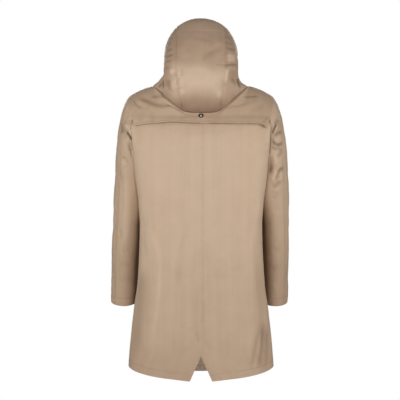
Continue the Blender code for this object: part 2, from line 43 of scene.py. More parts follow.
class Profile:  # sizes read smoothly between the rows of a table, by the table's first column
    def __init__(self, names, rows):
        table = np.array(rows, float)
        self.stops = table[:, 0]
        self.columns = dict(zip(names.split(), table.T))

    def read(self, name, at):
        stops, values, at = self.stops, self.columns[name], np.asarray(at, float)
        steps = np.diff(values) / np.diff(stops)
        inner = np.where(steps[:-1] * steps[1:] > 0, (steps[:-1] + steps[1:]) / 2, 0)
        slopes = np.concatenate([steps[:1], inner, steps[-1:]])
        i = np.clip(np.searchsorted(stops, at, side="right") - 1, 0, len(stops) - 2)
        span = stops[i + 1] - stops[i]
        t = np.clip((at - stops[i]) / span, 0, 1)
        curve = values[i] + (values[i + 1] - values[i]) * t * t * (3 - 2 * t)
        curve += span * (t * (1 - t) ** 2 * slopes[i] + t * t * (t - 1) * slopes[i + 1])
        before, after = np.minimum(at - stops[0], 0), np.maximum(at - stops[-1], 0)
        return curve + before * slopes[0] + after * slopes[-1]


def mix(a, b, share):
    return a + (b - a) * share


def ease(share):
    share = np.clip(share, 0, 1)
    return share * share * (3 - 2 * share)


def hump(share):  # 1 in the middle, 0 one width away
    return np.exp(-share * share)


def spotsOf(x, y, z):
    return np.stack(np.broadcast_arrays(x, y, z), axis=-1).astype(float)


def unit(ways):
    return ways / np.maximum(np.linalg.norm(ways, axis=-1, keepdims=True), 1e-9)


def squared(angle, squareness):  # a loop between an ellipse and a box
    return (np.abs(np.cos(angle)) ** squareness + np.abs(np.sin(angle)) ** squareness) ** (-1 / squareness)


def bridge(start, startWay, end, endWay, share):  # leaves and arrives along the two ways
    t = share[..., None]
    reach = np.linalg.norm(end - start, axis=-1, keepdims=True)
    way = startWay * t * (1 - t) ** 2 + endWay * t * t * (t - 1)
    return start + (end - start) * t * t * (3 - 2 * t) + way * reach


# the coat's body, in metres: hem, side, armhole and vent
coat = {
    "hemLevel": -0.899, "hemDip": 0.046, "dipReach": 0.20,
    "armpit": -0.228, "armholeRounding": 4.0, "armholeSlant": 0.25, "yokeStart": -0.1105, "tuckedTop": -0.098,
    "sideSeam": -10.0, "backArmhole": 47.0, "frontArmhole": -42.0,
    "backSquareness": 5.0, "frontSquareness": 2.1,
    "ventApex": -0.860, "ventHalfWidth": 0.035,
    "tuckDepth": 0.0045, "tuckFrom": -0.136, "tuckReach": 0.018,
    "armholeFrom": 0.83, "shoulderFrom": 0.86,  # shares of a panel's rows
}
body = Profile("height halfWidth middle back front", (
    (-0.945, 0.2350, 0.000, 0.158, -0.155),
    (-0.824, 0.2275, 0.004, 0.154, -0.150),
    (-0.704, 0.2140, 0.010, 0.149, -0.145),
    (-0.645, 0.2055, 0.014, 0.147, -0.141),
    (-0.570, 0.2000, 0.018, 0.144, -0.138),
    (-0.450, 0.1965, 0.028, 0.141, -0.132),
    (-0.410, 0.1982, 0.032, 0.141, -0.132),
    (-0.369, 0.2012, 0.036, 0.141, -0.133),
    (-0.330, 0.2068, 0.040, 0.141, -0.134),
    (-0.288, 0.2125, 0.044, 0.141, -0.136),
    (-0.240, 0.2165, 0.048, 0.140, -0.135),
    (-0.206, 0.2215, 0.050, 0.138, -0.133),
    (-0.160, 0.2370, 0.051, 0.134, -0.127),
    (-0.127, 0.2540, 0.050, 0.125, -0.118),
    (-0.095, 0.2680, 0.048, 0.111, -0.104),
))


def bodyDepth(isBack, height):
    middle = body.read("middle", height)
    depth = np.where(isBack, body.read("back", height) - middle, middle - body.read("front", height))
    return middle, depth, np.where(isBack, coat["backSquareness"], coat["frontSquareness"])


def bodySpot(turn, height):  # turn in degrees: 90 centre back, 0 side, -90 centre front
    angle = np.radians(turn)
    middle, depth, squareness = bodyDepth(turn > 0, height)
    stand = squared(angle, squareness)
    x = body.read("halfWidth", height) * np.cos(angle) * stand
    return spotsOf(x, middle + depth * np.sin(angle) * stand, height)


hemDip = Profile("turn dip", (  # from the side towards the centre back or front
    (0, 0), (20, 0.025), (36, 0.115), (44, 0.275), (50, 0.425), (56, 0.565), (62, 0.675),
    (68, 0.752), (76, 0.850), (81, 0.900), (86, 0.925), (90, 0.930),
))


def hemHeight(turn):
    return coat["hemLevel"] - coat["hemDip"] * hemDip.read("dip", np.abs(turn))


def dipped(turn, height):  # rows near the hem follow its dip
    near = 1 - ease((height - coat["hemLevel"]) / coat["dipReach"])
    return height + (hemHeight(turn) - coat["hemLevel"]) * near


def armholeTurn(height, upperTurn):
    share = np.clip((height - coat["armpit"]) / (coat["yokeStart"] - coat["armpit"]), 0, 1)
    rounding = coat["armholeRounding"]
    opened = mix((1 - (1 - share) ** rounding) ** (1 / rounding), share, coat["armholeSlant"])
    return mix(coat["sideSeam"], upperTurn, opened)


def ventTurn(height):
    opened = np.maximum(0, (coat["ventApex"] - height) / (coat["ventApex"] - hemHeight(np.array(90.0))))
    return np.degrees(coat["ventHalfWidth"] * opened / body.read("halfWidth", height))


def panelHeight(across, along, top):  # at the side the rows lie closer, where the armhole turns under the arm
    lower = mix(coat["hemLevel"], coat["armpit"], along / coat["armholeFrom"])
    share = np.clip((along - coat["armholeFrom"]) / (1 - coat["armholeFrom"]), 0, 1)
    risen = mix(share, (1 - np.cos(share * math.pi / 2)) ** 1.5, across**2)
    return np.where(along < coat["armholeFrom"], lower, mix(coat["armpit"], top, risen))


def backSurface(across, along):  # from the centre back out to the side and armhole
    height = panelHeight(across, along, coat["tuckedTop"])
    edge = armholeTurn(panelHeight(1.0, along, coat["tuckedTop"]), coat["backArmhole"])
    level = dipped(mix(90.0, edge, across), height)
    turn = mix(90.0 - ventTurn(level), edge, across)
    spots = bodySpot(turn, dipped(turn, height))
    spots[..., 1] -= coat["tuckDepth"] * ease((height - coat["tuckFrom"]) / coat["tuckReach"])
    return spots


# hood ribs run from the middle line round the head to the front edge; share 0 is the neckline
hood = {
    "crownSeam": 0.55, "seamBow": 0.028, "tuckedEdge": -0.012,
    "settle": 0.0085, "settleShare": (0.115, 0.085), "settleAngle": (131, 13),  # how far, then where and how wide
    "neckFront": (-0.087, -0.085), "chin": (-0.112, -0.040),
}
hoodRibs = Profile("share middleY middleZ halfWidth lift panelHalfWidth squareness", (
    (0.00, 0.108, -0.092, 0.154, 0.0885, 0.064, 2.3),
    (0.05, 0.121, -0.077, 0.138, 0.0950, 0.067, 2.5),
    (0.10, 0.134, -0.055, 0.1265, 0.0930, 0.071, 2.7),
    (0.15, 0.143, -0.031, 0.1230, 0.0850, 0.075, 2.8),
    (0.22, 0.151, 0.005, 0.1220, 0.0690, 0.079, 2.8),
    (0.36, 0.136, 0.085, 0.121, 0.0430, 0.083, 2.5),
    (0.50, 0.102, 0.155, 0.121, 0.0240, 0.083, 2.25),
    (0.62, 0.052, 0.203, 0.121, 0.0100, 0.081, 2.15),
    (0.72, -0.005, 0.222, 0.121, 0.0020, 0.078, 2.15),
    (0.86, -0.077, 0.214, 0.116, 0.0000, 0.074, 2.15),
    (1.00, -0.135, 0.187, 0.106, 0.0000, 0.070, 2.15),
))
neckRise = Profile("out rise", (
    (0.00, 0.00), (0.20, 0.01), (0.38, 0.08), (0.55, 0.33), (0.70, 0.57), (0.85, 0.79), (1.00, 1.00),
))


def hoodSpot(share, angle):
    turn = np.radians(angle)
    endY, endZ = (mix(a, b, share) for a, b in zip(hood["neckFront"], hood["chin"]))
    middleY, middleZ = hoodRibs.read("middleY", share), hoodRibs.read("middleZ", share)
    stand = squared(turn, hoodRibs.read("squareness", share))
    out, along = np.sin(turn) * stand, np.cos(turn) * stand
    lift = hoodRibs.read("lift", share) * neckRise.read("rise", np.abs(out))
    (shareAt, shareReach), (angleAt, angleReach) = hood["settleShare"], hood["settleAngle"]
    beside = hump((share - shareAt) / shareReach) * hump((angle - angleAt) / angleReach)
    lift = lift - hood["settle"] * beside  # no pocket beside the chin
    return spotsOf(
        hoodRibs.read("halfWidth", share) * out,
        (middleY + endY) / 2 + (middleY - endY) / 2 * along,
        (middleZ + endZ) / 2 + (middleZ - endZ) / 2 * along + lift,
    )


def panelAngle(share):  # the seam between the hood's middle panel and its side
    squareness = hoodRibs.read("squareness", share)
    part = (hoodRibs.read("panelHalfWidth", share) / hoodRibs.read("halfWidth", share)) ** squareness
    return np.degrees(np.arctan((part / (1 - part)) ** (1 / squareness)))


def mirrored(half):  # a whole panel from the function of its +X half
    def whole(across, along):
        side = 2 * across - 1
        spots = half(np.abs(side), along)
        spots[..., 0] *= np.where(side < 0, -1, 1)
        return spots
    return whole


def hoodMiddle(first, last):
    def half(out, along):  # the crown seam is bowed so that it looks straight from behind
        share = mix(*(edge + hood["seamBow"] * out**2 * (edge == hood["crownSeam"]) for edge in (first, last)), along)
        return hoodSpot(share, panelAngle(share) * out)
    return mirrored(half)


def hoodSide(across, along):
    share = mix(hood["tuckedEdge"], 1.0, along)
    return hoodSpot(share, mix(panelAngle(share), 180.0, across))


# shoulders: the cloth runs from the body up to the neckline and out along the shoulder seam
shoulder = {
    "neckPoint": np.array((0.154, 0.011, 0.0)), "tip": np.array((0.231, -0.010, -0.031)), "arch": 0.005,
    "climb": 0.10, "backAtNeck": np.array((0.0, -0.25, 0.95)), "frontAtNeck": np.array((0.0, 0.45, 0.90)),
    "backNeckShare": 8 / 13, "frontNeckShare": 7 / 11, "middleShare": 3 / 8,
}


def backNeckAngle(share):
    seam, part = panelAngle(np.array(0.0)), shoulder["middleShare"]
    return np.where(share < part, seam * share / part, mix(seam, 90.0, (share - part) / (1 - part)))


def shoulderSurface(across, share, isBack):
    upper, centre = (coat["backArmhole"], 90.0) if isBack else (coat["frontArmhole"], -90.0)
    neckShare = shoulder["backNeckShare" if isBack else "frontNeckShare"]
    turn = mix(centre, upper, across)
    start = bodySpot(turn, np.full_like(turn, coat["yokeStart"]))
    startWay = unit(start - bodySpot(turn, np.full_like(turn, coat["yokeStart"] - 0.004)))
    inNeck = np.clip(across / neckShare, 0, 1)
    neckSpot = hoodSpot(np.zeros_like(inNeck), backNeckAngle(inNeck) if isBack else mix(180.0, 90.0, inNeck))
    out = np.clip((across - neckShare) / (1 - neckShare), 0, 1)[..., None]
    seam = mix(shoulder["neckPoint"], shoulder["tip"], out)
    seam = seam + spotsOf(0, 0, shoulder["arch"] * 4 * out[..., 0] * (1 - out[..., 0]))
    end = np.where((across <= neckShare)[..., None], neckSpot, seam)
    over = spotsOf(0, -1.0 if isBack else 1.0, shoulder["climb"] * (1 - across))
    atNeck = shoulder["backAtNeck" if isBack else "frontAtNeck"]
    endWay = unit(mix(atNeck, over, ease(inNeck)[..., None]))
    return bridge(start, startWay, end, endWay, share)


def frontSurface(across, along):  # from the centre front out to the side, armhole and shoulder
    split = coat["shoulderFrom"]
    height, edge = (panelHeight(part, np.minimum(along / split, 1), coat["yokeStart"]) for part in (across, 1.0))
    turn = mix(-90.0, armholeTurn(edge, coat["frontArmhole"]), across)
    lower = bodySpot(turn, dipped(turn, height))
    upper = shoulderSurface(across, np.clip((along - split) / (1 - split), 0, 1), False)
    return np.where((along > split)[..., None], upper, lower)


def normalsOf(surface, across, along, sign, step=0.003):
    a = surface(across + step, along) - surface(across - step, along)
    b = surface(across, np.minimum(along + step, 1)) - surface(across, np.maximum(along - step, 0))
    return unit(np.cross(a, b)) * sign


# the yoke lies on the shoulders and ends in a loose flap over the back
yoke = {"flapShare": 0.16, "blend": 0.016, "underFlap": 0.0016, "flapTop": -0.112}
yokeEdge = Profile("x height standOff", (
    (-0.2350, -0.1460, 0.0010), (-0.2164, -0.1380, 0.0012), (-0.2070, -0.1336, 0.0036), (-0.1973, -0.1306, 0.0070),
    (-0.1814, -0.1290, 0.0056), (-0.1235, -0.1288, 0.0042), (-0.0665, -0.1274, 0.0042), (-0.0260, -0.1274, 0.0036),
    (-0.0190, -0.1274, 0.0006), (0.0010, -0.1270, 0.0006), (0.0080, -0.1268, 0.0036), (0.0443, -0.1258, 0.0044),
    (0.0823, -0.1232, 0.0046), (0.1076, -0.1238, 0.0042), (0.1393, -0.1262, 0.0034), (0.1773, -0.1292, 0.0030),
    (0.1877, -0.1303, 0.0034), (0.2113, -0.1334, 0.0020), (0.2350, -0.1365, 0.0010),
))


def yokeSurface(across, along):
    side = 2 * across - 1
    turnSide = np.where(side < 0, -1, 1)

    def base(out, up):
        turn = mix(90.0, coat["backArmhole"], np.abs(out))
        x = bodySpot(turn, np.full_like(turn, coat["yokeStart"]))[..., 0] * turnSide
        height = mix(yokeEdge.read("height", x), coat["yokeStart"], np.clip(up / yoke["flapShare"], 0, 1))
        flap = bodySpot(turn, height)
        top = shoulderSurface(np.abs(out), np.clip((up - yoke["flapShare"]) / (1 - yoke["flapShare"]), 0, 1), True)
        return np.where((up < yoke["flapShare"])[..., None], flap, top)

    out = np.maximum(np.abs(side), 1e-4)
    spots, start = base(out, along), base(out, np.zeros_like(along))
    rise = spots[..., 2] - start[..., 2]
    reach = yoke["flapTop"] - start[..., 2] + yoke["blend"]
    near = 1 - ease((rise - (reach - yoke["blend"])) / yoke["blend"])
    off = yokeEdge.read("standOff", start[..., 0] * turnSide) * (1 - ease(rise / reach))
    normals = normalsOf(base, out, np.clip(along, 0.01, 0.99), -1)
    spots = spots + normals * ((yoke["underFlap"] + off) * near)[..., None]
    spots[..., 0] *= turnSide
    return spots


# a plain strip over the closing edges of the fronts
placket = {"halfWidth": 0.031, "lift": 0.0019, "top": 0.976, "frontWidth": 0.25, "rounds": 10}


def placketSurface(across, along):
    x = mix(-placket["halfWidth"], placket["halfWidth"], across)
    reach = along * placket["top"]
    out = np.abs(x) / placket["frontWidth"]
    for _ in range(placket["rounds"]):  # closes in on the place of the front that lies at x
        out = out * np.abs(x) / np.maximum(np.abs(frontSurface(out, reach)[..., 0]), 1e-6)
    out = np.maximum(out, 1e-4)
    spots = frontSurface(out, reach) + normalsOf(frontSurface, out, np.clip(reach, 0.004, 0.99), 1) * placket["lift"]
    spots[..., 0] = x
    return spots


# sleeves: a cap from the armhole, then rings down the arm
sleeve = {
    "turns": 22, "armpitColumn": 11, "capRows": 9, "rows": 26, "shoulderColumns": 6,
    "clear": 0.0010, "clearBelow": -0.165, "clearBlend": 0.035, "clearRounding": 0.02, "clearFade": 0.030,
    "upperStart": np.array((0.75, 0.0, -0.66)), "sideStart": np.array((0.90, 0.0, -0.40)),
    "underStart": np.array((0.15, 0.0, -1.0)), "capPull": 0.55, "seamColumn": 3,
}
armRings = Profile("share x y z halfWidth halfDepth tilt", (
    (0.00, 0.2260, -0.018, -0.262, 0.058, 0.079, 2.0),
    (0.20, 0.2320, -0.034, -0.345, 0.0565, 0.074, 5.0),
    (0.40, 0.2405, -0.055, -0.430, 0.0500, 0.068, 9.0),
    (0.67, 0.2475, -0.090, -0.555, 0.0458, 0.060, 13.0),
    (0.88, 0.2500, -0.116, -0.650, 0.0440, 0.053, 15.0),
    (1.00, 0.2510, -0.131, -0.705, 0.0430, 0.050, 16.0),
))


armSway = Profile("height left right", (  # how far each arm hangs outwards of the even pose
    (-0.720, 0.0045, -0.0055), (-0.690, 0.0042, -0.0052), (-0.500, 0.0, -0.0030), (-0.370, -0.0036, -0.0012),
    (-0.280, -0.0046, -0.0005), (-0.180, -0.0030, -0.0003), (-0.080, 0.0, 0.0),
))


def columnAngle(column):  # 0 outside the arm, 90 behind it, 180 under it, 270 before it
    return 180.0 * (column % sleeve["turns"]) / sleeve["armpitColumn"]


def armholeSpot(column):
    column = column % sleeve["turns"]
    under, wide = sleeve["armpitColumn"], sleeve["shoulderColumns"]
    ones = np.ones_like(column)
    overBack = shoulderSurface(ones, np.clip(1 - column / wide, 0, 1), True)
    overFront = shoulderSurface(ones, np.clip((column - 2 * under + wide) / wide, 0, 1), False)
    quarter = np.clip(np.abs(column - under) / (under - wide), 0, 1) * math.pi / 2
    upper = np.where(column < under, coat["backArmhole"], coat["frontArmhole"])
    height = mix(coat["armpit"], coat["yokeStart"], (1 - np.cos(quarter)) ** 1.5)
    below = bodySpot(armholeTurn(height, upper), height)
    spots = np.where((column < wide)[..., None], overBack, below)
    return np.where((column > 2 * under - wide)[..., None], overFront, spots)


def armSpot(share, angle):
    turn = np.radians(angle)
    deep = armRings.read("halfDepth", share) * np.sin(turn)
    return spotsOf(
        armRings.read("x", share) + armRings.read("halfWidth", share) * np.cos(turn),
        armRings.read("y", share) + deep,
        armRings.read("z", share) - np.tan(np.radians(armRings.read("tilt", share))) * deep,
    )


def clearOfBody(spots, share):  # moves a sleeve out of the body that it hangs against
    x, y, z = spots[..., 0], spots[..., 1], spots[..., 2]
    middle, depth, squareness = bodyDepth(y > body.read("middle", z), z)
    width = body.read("halfWidth", z)
    level = ((np.abs(x) / width) ** squareness + (np.abs(y - middle) / depth) ** squareness) ** (1 / squareness)
    least = 1 + sleeve["clear"] / width * ease((sleeve["clearBelow"] - z) / sleeve["clearBlend"])
    short = least / np.maximum(level, 0.2) - 1
    push = (short + np.hypot(short, sleeve["clearRounding"])) / 2
    out = 1 + push * share * ease((coat["yokeStart"] - z) / sleeve["clearFade"])
    return spotsOf(x * out, middle + (y - middle) * out, z)


def sleeveSurface(column, along):
    angle, place = columnAngle(column), along * sleeve["rows"]
    arm = armSpot(np.maximum(place - sleeve["capRows"], 0) / (sleeve["rows"] - sleeve["capRows"]), angle)
    upper = np.cos(np.radians(angle / 2))[..., None] ** 2
    beside = np.sin(np.radians(angle))[..., None] ** 2
    startWay = unit(mix(mix(sleeve["underStart"], sleeve["upperStart"], upper), sleeve["sideStart"], beside))
    end = armSpot(np.zeros_like(angle), angle)
    endWay = unit(armSpot(np.full_like(angle, 0.05), angle) - end)
    cap = bridge(
        armholeSpot(column), startWay * sleeve["capPull"], end, endWay, np.clip(place / sleeve["capRows"], 0, 1)
    )
    return clearOfBody(np.where((place < sleeve["capRows"])[..., None], cap, arm), ease(place / 2))


def sleevePiece(first, last, name):
    def surface(across, along):
        spots = sleeveSurface(mix(first, last, across), 1 - along)
        spots[..., 0] += armSway.read(name, spots[..., 2]) * ease((1 - along) * sleeve["rows"] / 4)
        return spots
    return surface


# folds and creases of a group, seen from one side: line (cm across, cm up from the neck point), width in cm,
# lift in mm, share of the lift that is also painted, as shade in a trough and as light on a ridge
folds = {
    ("yoke", "back"): (
        (((20.3, -3.6), (19.1, -4.2), (17.3, -5.0), (15.6, -5.8),
          (13.7, -6.5), (11.4, -6.8), (9.5, -7.0)), 0.9, -3.8, 0.5),
        (((11.8, -6.7), (10.5, -6.8), (9.2, -7.2), (7.6, -8.0), (5.9, -8.9)), 0.36, -1.6, 2.2),
        (((10.6, -5.7), (8.5, -7.1), (7.1, -8.0), (5.7, -8.7)), 0.34, 1.4, 2.0),
        (((-6.8, -8.2), (-8.9, -7.5), (-10.1, -7.0), (-11.4, -7.0),
          (-12.9, -6.6), (-14.3, -6.0), (-16.1, -5.3)), 0.5, -2.0, 0.9),
        (((16.2, -3.7), (14.0, -3.6), (11.9, -3.7), (10.4, -4.7)), 0.6, -2.6, 0.6),
        (((21.6, -4.3), (21.0, -5.9), (19.9, -6.9), (18.3, -7.5)), 0.5, -3.0, 0.6),
        (((20.7, -4.6), (19.1, -5.6), (17.2, -6.5)), 0.9, 2.0, 0.3),
        (((19.4, -8.3), (19.3, -10.2), (19.4, -12.1)), 1.0, -1.6, 0.25),
        (((15.3, -7.7), (15.4, -10.2), (15.4, -12.6)), 0.8, -1.9, 0.3),
        (((17.5, -7.7), (17.3, -10.2), (17.5, -12.4)), 1.2, 1.3, 0.2),
        (((-13.2, -3.9), (-14.9, -3.7), (-16.5, -3.6), (-18.8, -3.4)), 0.5, -3.2, 0.7),
        (((-18.1, -5.4), (-14.9, -7.3), (-11.8, -8.5)), 1.3, 1.9, 0.2),
        (((-15.6, -8.3), (-17.8, -7.5), (-20.3, -6.2)), 0.8, -1.4, 0.3),
        (((-19.7, -4.5), (-19.2, -7.7), (-19.5, -10.8)), 1.2, -1.4, 0.2),
        (((-11.1, -9.2), (-13.7, -9.6), (-15.6, -9.2)), 1.2, -1.0, 0.2),
        (((-19.4, -12.1), (-20.7, -11.2), (-21.5, -9.9)), 0.6, -2.0, 0.5),
        (((11.1, -9.4), (7.9, -9.9), (4.1, -9.7)), 1.3, -1.0, 0.2),
    ),
    ("hood", "back"): (
        (((12.1, 1.8), (12.3, 0.4), (12.0, -1.3)), 0.45, -4.0, 1.0),
        (((14.0, -0.9), (13.4, -0.1), (12.9, 0.7)), 0.4, -3.0, 0.9),
        (((11.3, 2.2), (11.1, 0.6), (11.2, -1.0)), 0.45, -2.0, 0.8),
        (((10.1, 16.4), (9.1, 16.7), (8.2, 17.2)), 0.45, -1.8, 1.2),
        (((10.9, 14.8), (9.8, 15.0), (8.8, 15.6)), 0.45, -2.0, 1.2),
        (((11.7, 12.9), (10.4, 13.2), (9.3, 13.7)), 0.5, -2.2, 1.2),
        (((11.5, 11.0), (10.2, 11.1), (9.0, 11.6)), 0.45, -2.4, 1.2),
        (((11.5, 9.0), (10.2, 9.1), (8.8, 9.6)), 0.45, -2.4, 1.2),
        (((11.5, 7.1), (10.2, 7.3), (9.0, 7.9)), 0.45, -2.2, 1.2),
        (((11.7, 5.0), (10.6, 5.2), (9.3, 5.8)), 0.5, -1.8, 1.2),
        (((9.5, 4.9), (9.2, 3.8), (9.5, 2.7)), 0.65, 3.4, 1.1),
        (((8.3, 3.9), (8.1, 2.8), (8.3, 1.7)), 0.42, -3.2, 1.0),
        (((7.3, 4.5), (7.1, 3.1), (7.3, 1.5)), 0.55, 2.6, 1.1),
        (((6.1, 5.2), (6.0, 3.8), (6.1, 2.3)), 0.38, -2.6, 0.9),
        (((8.9, 1.2), (8.6, -0.3), (9.1, -1.9)), 0.85, 3.8, 1.1),
        (((7.7, 1.3), (7.6, 0.2), (7.7, -0.9)), 0.42, -2.8, 1.0),
        (((6.5, 1.4), (6.3, 0.1), (6.7, -1.2)), 0.65, 2.4, 1.0),
        (((7.9, 3.6), (7.0, 3.9), (6.1, 3.6)), 0.3, -1.6, 1.0),
        (((7.9, 2.3), (7.0, 2.7), (6.1, 2.4)), 0.3, -1.5, 1.0),
        (((7.7, 0.8), (6.9, 1.1), (6.0, 0.7)), 0.3, -1.7, 1.0),
        (((7.7, -0.7), (6.9, -0.4), (6.0, -0.9)), 0.3, -1.5, 1.0),
        (((7.6, -2.2), (6.8, -1.6), (5.8, -2.1)), 0.3, -1.5, 1.0),
        (((10.1, 1.8), (10.3, -0.4), (9.7, -2.6)), 0.65, -3.0, 0.8),
        (((7.1, -1.9), (6.3, -2.6), (5.8, -3.8)), 0.8, 2.2, 1.0),
        (((7.6, -1.6), (7.4, -2.6), (7.7, -3.9)), 0.45, -2.2, 0.8),
        (((14.4, -1.2), (12.2, -2.8), (10.6, -3.7), (9.3, -4.6), (7.7, -6.0)), 0.9, -0.3, 4.4),
        (((6.6, -6.3), (6.0, -7.1), (6.1, -8.1)), 0.4, -2.0, 0.8),
        (((-7.8, 12.1), (-9.2, 11.4), (-10.4, 11.2), (-11.8, 11.6)), 0.58, -1.6, 1.1),
        (((-9.0, 10.0), (-9.0, 8.6), (-9.0, 6.8)), 0.9, 2.2, 1.6),
        (((-10.5, 10.0), (-10.6, 8.6), (-10.5, 6.9)), 0.9, 1.8, 1.6),
        (((-7.6, 15.9), (-9.1, 15.2), (-10.9, 15.0)), 0.7, -1.0, 1.2),
        (((-7.6, 13.8), (-9.3, 13.2), (-11.3, 13.4)), 0.7, -1.0, 1.3),
        (((-6.9, 5.7), (-9.8, 6.1), (-12.5, 6.4)), 0.45, -3.4, 1.0),
        (((-8.3, 5.2), (-8.1, 2.8), (-7.7, 0.0)), 0.6, 3.4, 1.2),
        (((-9.9, 4.9), (-10.4, 2.5), (-9.9, -0.4)), 1.4, -3.4, 0.35),
        (((-11.7, 2.3), (-12.2, 0.6), (-12.7, -1.2)), 0.48, -4.4, 1.0),
        (((-10.1, 1.8), (-10.8, 0.7), (-11.4, -0.7)), 0.42, -2.2, 0.8),
        (((-14.4, -0.9), (-12.2, -2.8), (-10.6, -4.1), (-8.8, -5.5)), 0.9, -0.3, 4.0),
        (((-6.9, 1.8), (-6.5, -0.7), (-6.0, -3.3)), 0.32, -1.4, 1.1),
        (((-5.6, -2.2), (-5.7, -3.5), (-5.5, -4.7)), 0.6, 1.4, 1.1),
        (((-6.0, -5.7), (-6.3, -6.3), (-6.1, -7.1)), 0.5, -1.4, 0.9),
        (((0.3, 7.7), (-1.6, 8.7), (-3.8, 10.2), (-6.2, 12.1)), 1.1, -1.8, 0.6),
        (((-2.2, 10.6), (-4.5, 12.1), (-6.7, 14.0)), 0.9, 1.6, 0.55),
        (((5.4, 11.1), (2.9, 12.2), (-0.3, 12.4)), 1.6, -1.3, 0.2),
        (((4.8, 6.2), (1.6, 6.8), (-1.6, 6.3)), 1.3, -1.2, 0.2),
        (((3.5, 15.3), (0.3, 14.4), (-4.2, 13.7)), 0.9, -1.2, 0.4),
        (((-4.2, 5.5), (-5.8, 6.0), (-7.6, 5.8)), 0.45, -2.0, 0.8),
        (((4.2, -5.2), (0.3, -6.0), (-4.2, -5.2)), 1.4, -1.4, 0.25),
    ),
    ("hood", "left"): (
        (((7.0, 0.9), (3.0, 0.9), (-2.0, 0.3)), 1.3, 4.0, 0.1),
        (((8.5, -0.5), (3.0, 1.2), (-4.0, 0.2)), 0.9, -3.0, 0.3),
        (((8.0, 3.4), (1.5, 4.6), (-5.5, 3.4)), 1.0, -2.0, 0.3),
        (((5.0, 8.5), (0.0, 9.2), (-6.0, 7.8)), 1.2, -1.5, 0.3),
    ),
    ("hood", "right"): (
        (((7.5, 1.6), (3.5, 1.5), (-0.5, 1.1)), 1.8, -5.0, 0.1),
        (((8.5, 0.2), (2.5, 1.6), (-4.5, 0.4)), 0.9, -3.0, 0.3),
        (((8.0, 4.0), (1.0, 5.0), (-6.0, 3.8)), 1.0, -2.0, 0.3),
        (((5.0, 9.4), (-0.5, 9.8), (-6.0, 8.6)), 1.2, -1.5, 0.3),
    ),
    ("sleeve", "back"): (
        (((23.9, -15.0), (22.8, -16.6), (21.9, -18.0)), 0.42, -4.0, 2.8),
        (((24.3, -15.2), (23.4, -17.0), (22.4, -18.6)), 0.5, 3.0, 1.2),
        (((23.1, -14.6), (22.3, -15.9), (21.6, -17.1)), 0.45, 2.2, 0.8),
        (((23.3, -18.2), (23.0, -20.3), (22.1, -22.0), (21.8, -23.7)), 0.65, -2.6, 0.9),
        (((24.1, -18.9), (23.7, -20.8), (22.8, -22.7)), 0.8, 2.0, 0.5),
        (((25.7, -11.6), (25.6, -13.9), (25.2, -15.8)), 0.6, -3.0, 0.8),
        (((24.6, -14.7), (24.3, -16.0), (24.4, -17.6)), 0.9, -2.2, 0.45),
        (((22.5, -14.5), (22.1, -13.8), (21.8, -13.3)), 0.45, -3.0, 0.8),
        (((22.8, -11.0), (22.6, -12.3), (22.3, -13.5)), 0.45, -3.0, 0.6),
        (((23.4, -8.1), (23.4, -9.6), (23.3, -11.3)), 0.5, -1.6, 0.5),
        (((24.0, -12.3), (23.6, -13.6), (23.0, -14.6)), 0.7, 2.2, 0.5),
        (((25.8, -23.1), (24.9, -23.3), (24.1, -24.1), (23.2, -25.6)), 0.6, -1.8, 0.75),
        (((25.8, -24.4), (24.9, -25.0), (24.3, -26.3)), 0.9, 1.8, 0.9),
        (((24.6, -28.5), (24.2, -36.9), (24.3, -44.9), (24.4, -53.6)), 1.6, 1.7, 1.3),
        (((26.3, -26.0), (25.5, -29.8), (25.3, -34.3), (25.4, -42.0)), 0.62, -1.8, 0.7),
        (((26.6, -46.2), (25.9, -48.0), (26.0, -50.1)), 0.62, -2.4, 0.6),
        (((27.2, -46.6), (26.6, -48.5), (26.6, -50.4)), 0.7, 1.4, 0.4),
        (((26.4, -53.0), (26.5, -58.1), (26.7, -65.9)), 0.6, -1.0, 0.4),
        (((25.7, -53.6), (24.1, -53.0), (22.5, -53.3)), 1.3, -1.4, 0.4),
        (((26.5, -58.8), (24.8, -58.0), (22.8, -58.3)), 1.2, -1.2, 0.4),
        (((26.4, -63.9), (24.5, -63.0), (22.5, -63.3)), 1.3, -1.2, 0.4),
        (((-24.1, -12.6), (-23.6, -13.8), (-23.1, -15.0), (-22.7, -16.2)), 0.4, -4.0, 1.6),
        (((-23.3, -13.0), (-24.1, -12.2), (-25.2, -10.9)), 0.8, -2.8, 0.6),
        (((-24.7, -13.3), (-24.1, -14.7), (-23.4, -16.2)), 0.5, 2.8, 1.2),
        (((-26.4, -14.6), (-25.4, -15.3), (-24.6, -15.7), (-23.5, -16.6)), 0.6, -3.2, 0.75),
        (((-23.6, -16.6), (-23.9, -17.5), (-23.7, -18.4)), 0.6, 2.0, 0.9),
        (((-24.6, -16.2), (-24.4, -17.3), (-24.6, -18.5)), 0.42, -1.8, 0.7),
        (((-25.2, -16.3), (-25.2, -17.4), (-25.4, -18.4)), 0.6, 1.6, 0.6),
        (((-22.5, -16.8), (-23.0, -18.1), (-23.9, -19.1), (-25.2, -19.2), (-26.6, -18.2)), 0.62, -3.6, 0.8),
        (((-23.4, -19.5), (-24.5, -19.9), (-25.5, -19.7)), 0.6, 2.2, 0.6),
        (((-22.3, -19.6), (-23.5, -20.5), (-24.6, -20.3), (-25.6, -19.7)), 0.6, -2.8, 0.7),
        (((-23.0, -21.6), (-23.4, -23.4), (-24.4, -25.8)), 1.0, 2.4, 1.2),
        (((-25.2, -20.0), (-25.8, -21.3), (-25.4, -22.4), (-24.3, -23.5)), 0.6, -2.4, 0.65),
        (((-22.3, -21.8), (-22.5, -24.0), (-22.5, -26.3), (-22.0, -29.5)), 0.95, -3.4, 0.75),
        (((-22.1, -24.8), (-22.1, -27.8), (-21.7, -31.5)), 0.7, -0.8, 1.0),
        (((-27.3, -26.3), (-26.3, -26.8), (-25.4, -27.6), (-24.7, -29.0), (-23.8, -31.1)), 0.64, -3.4, 0.8),
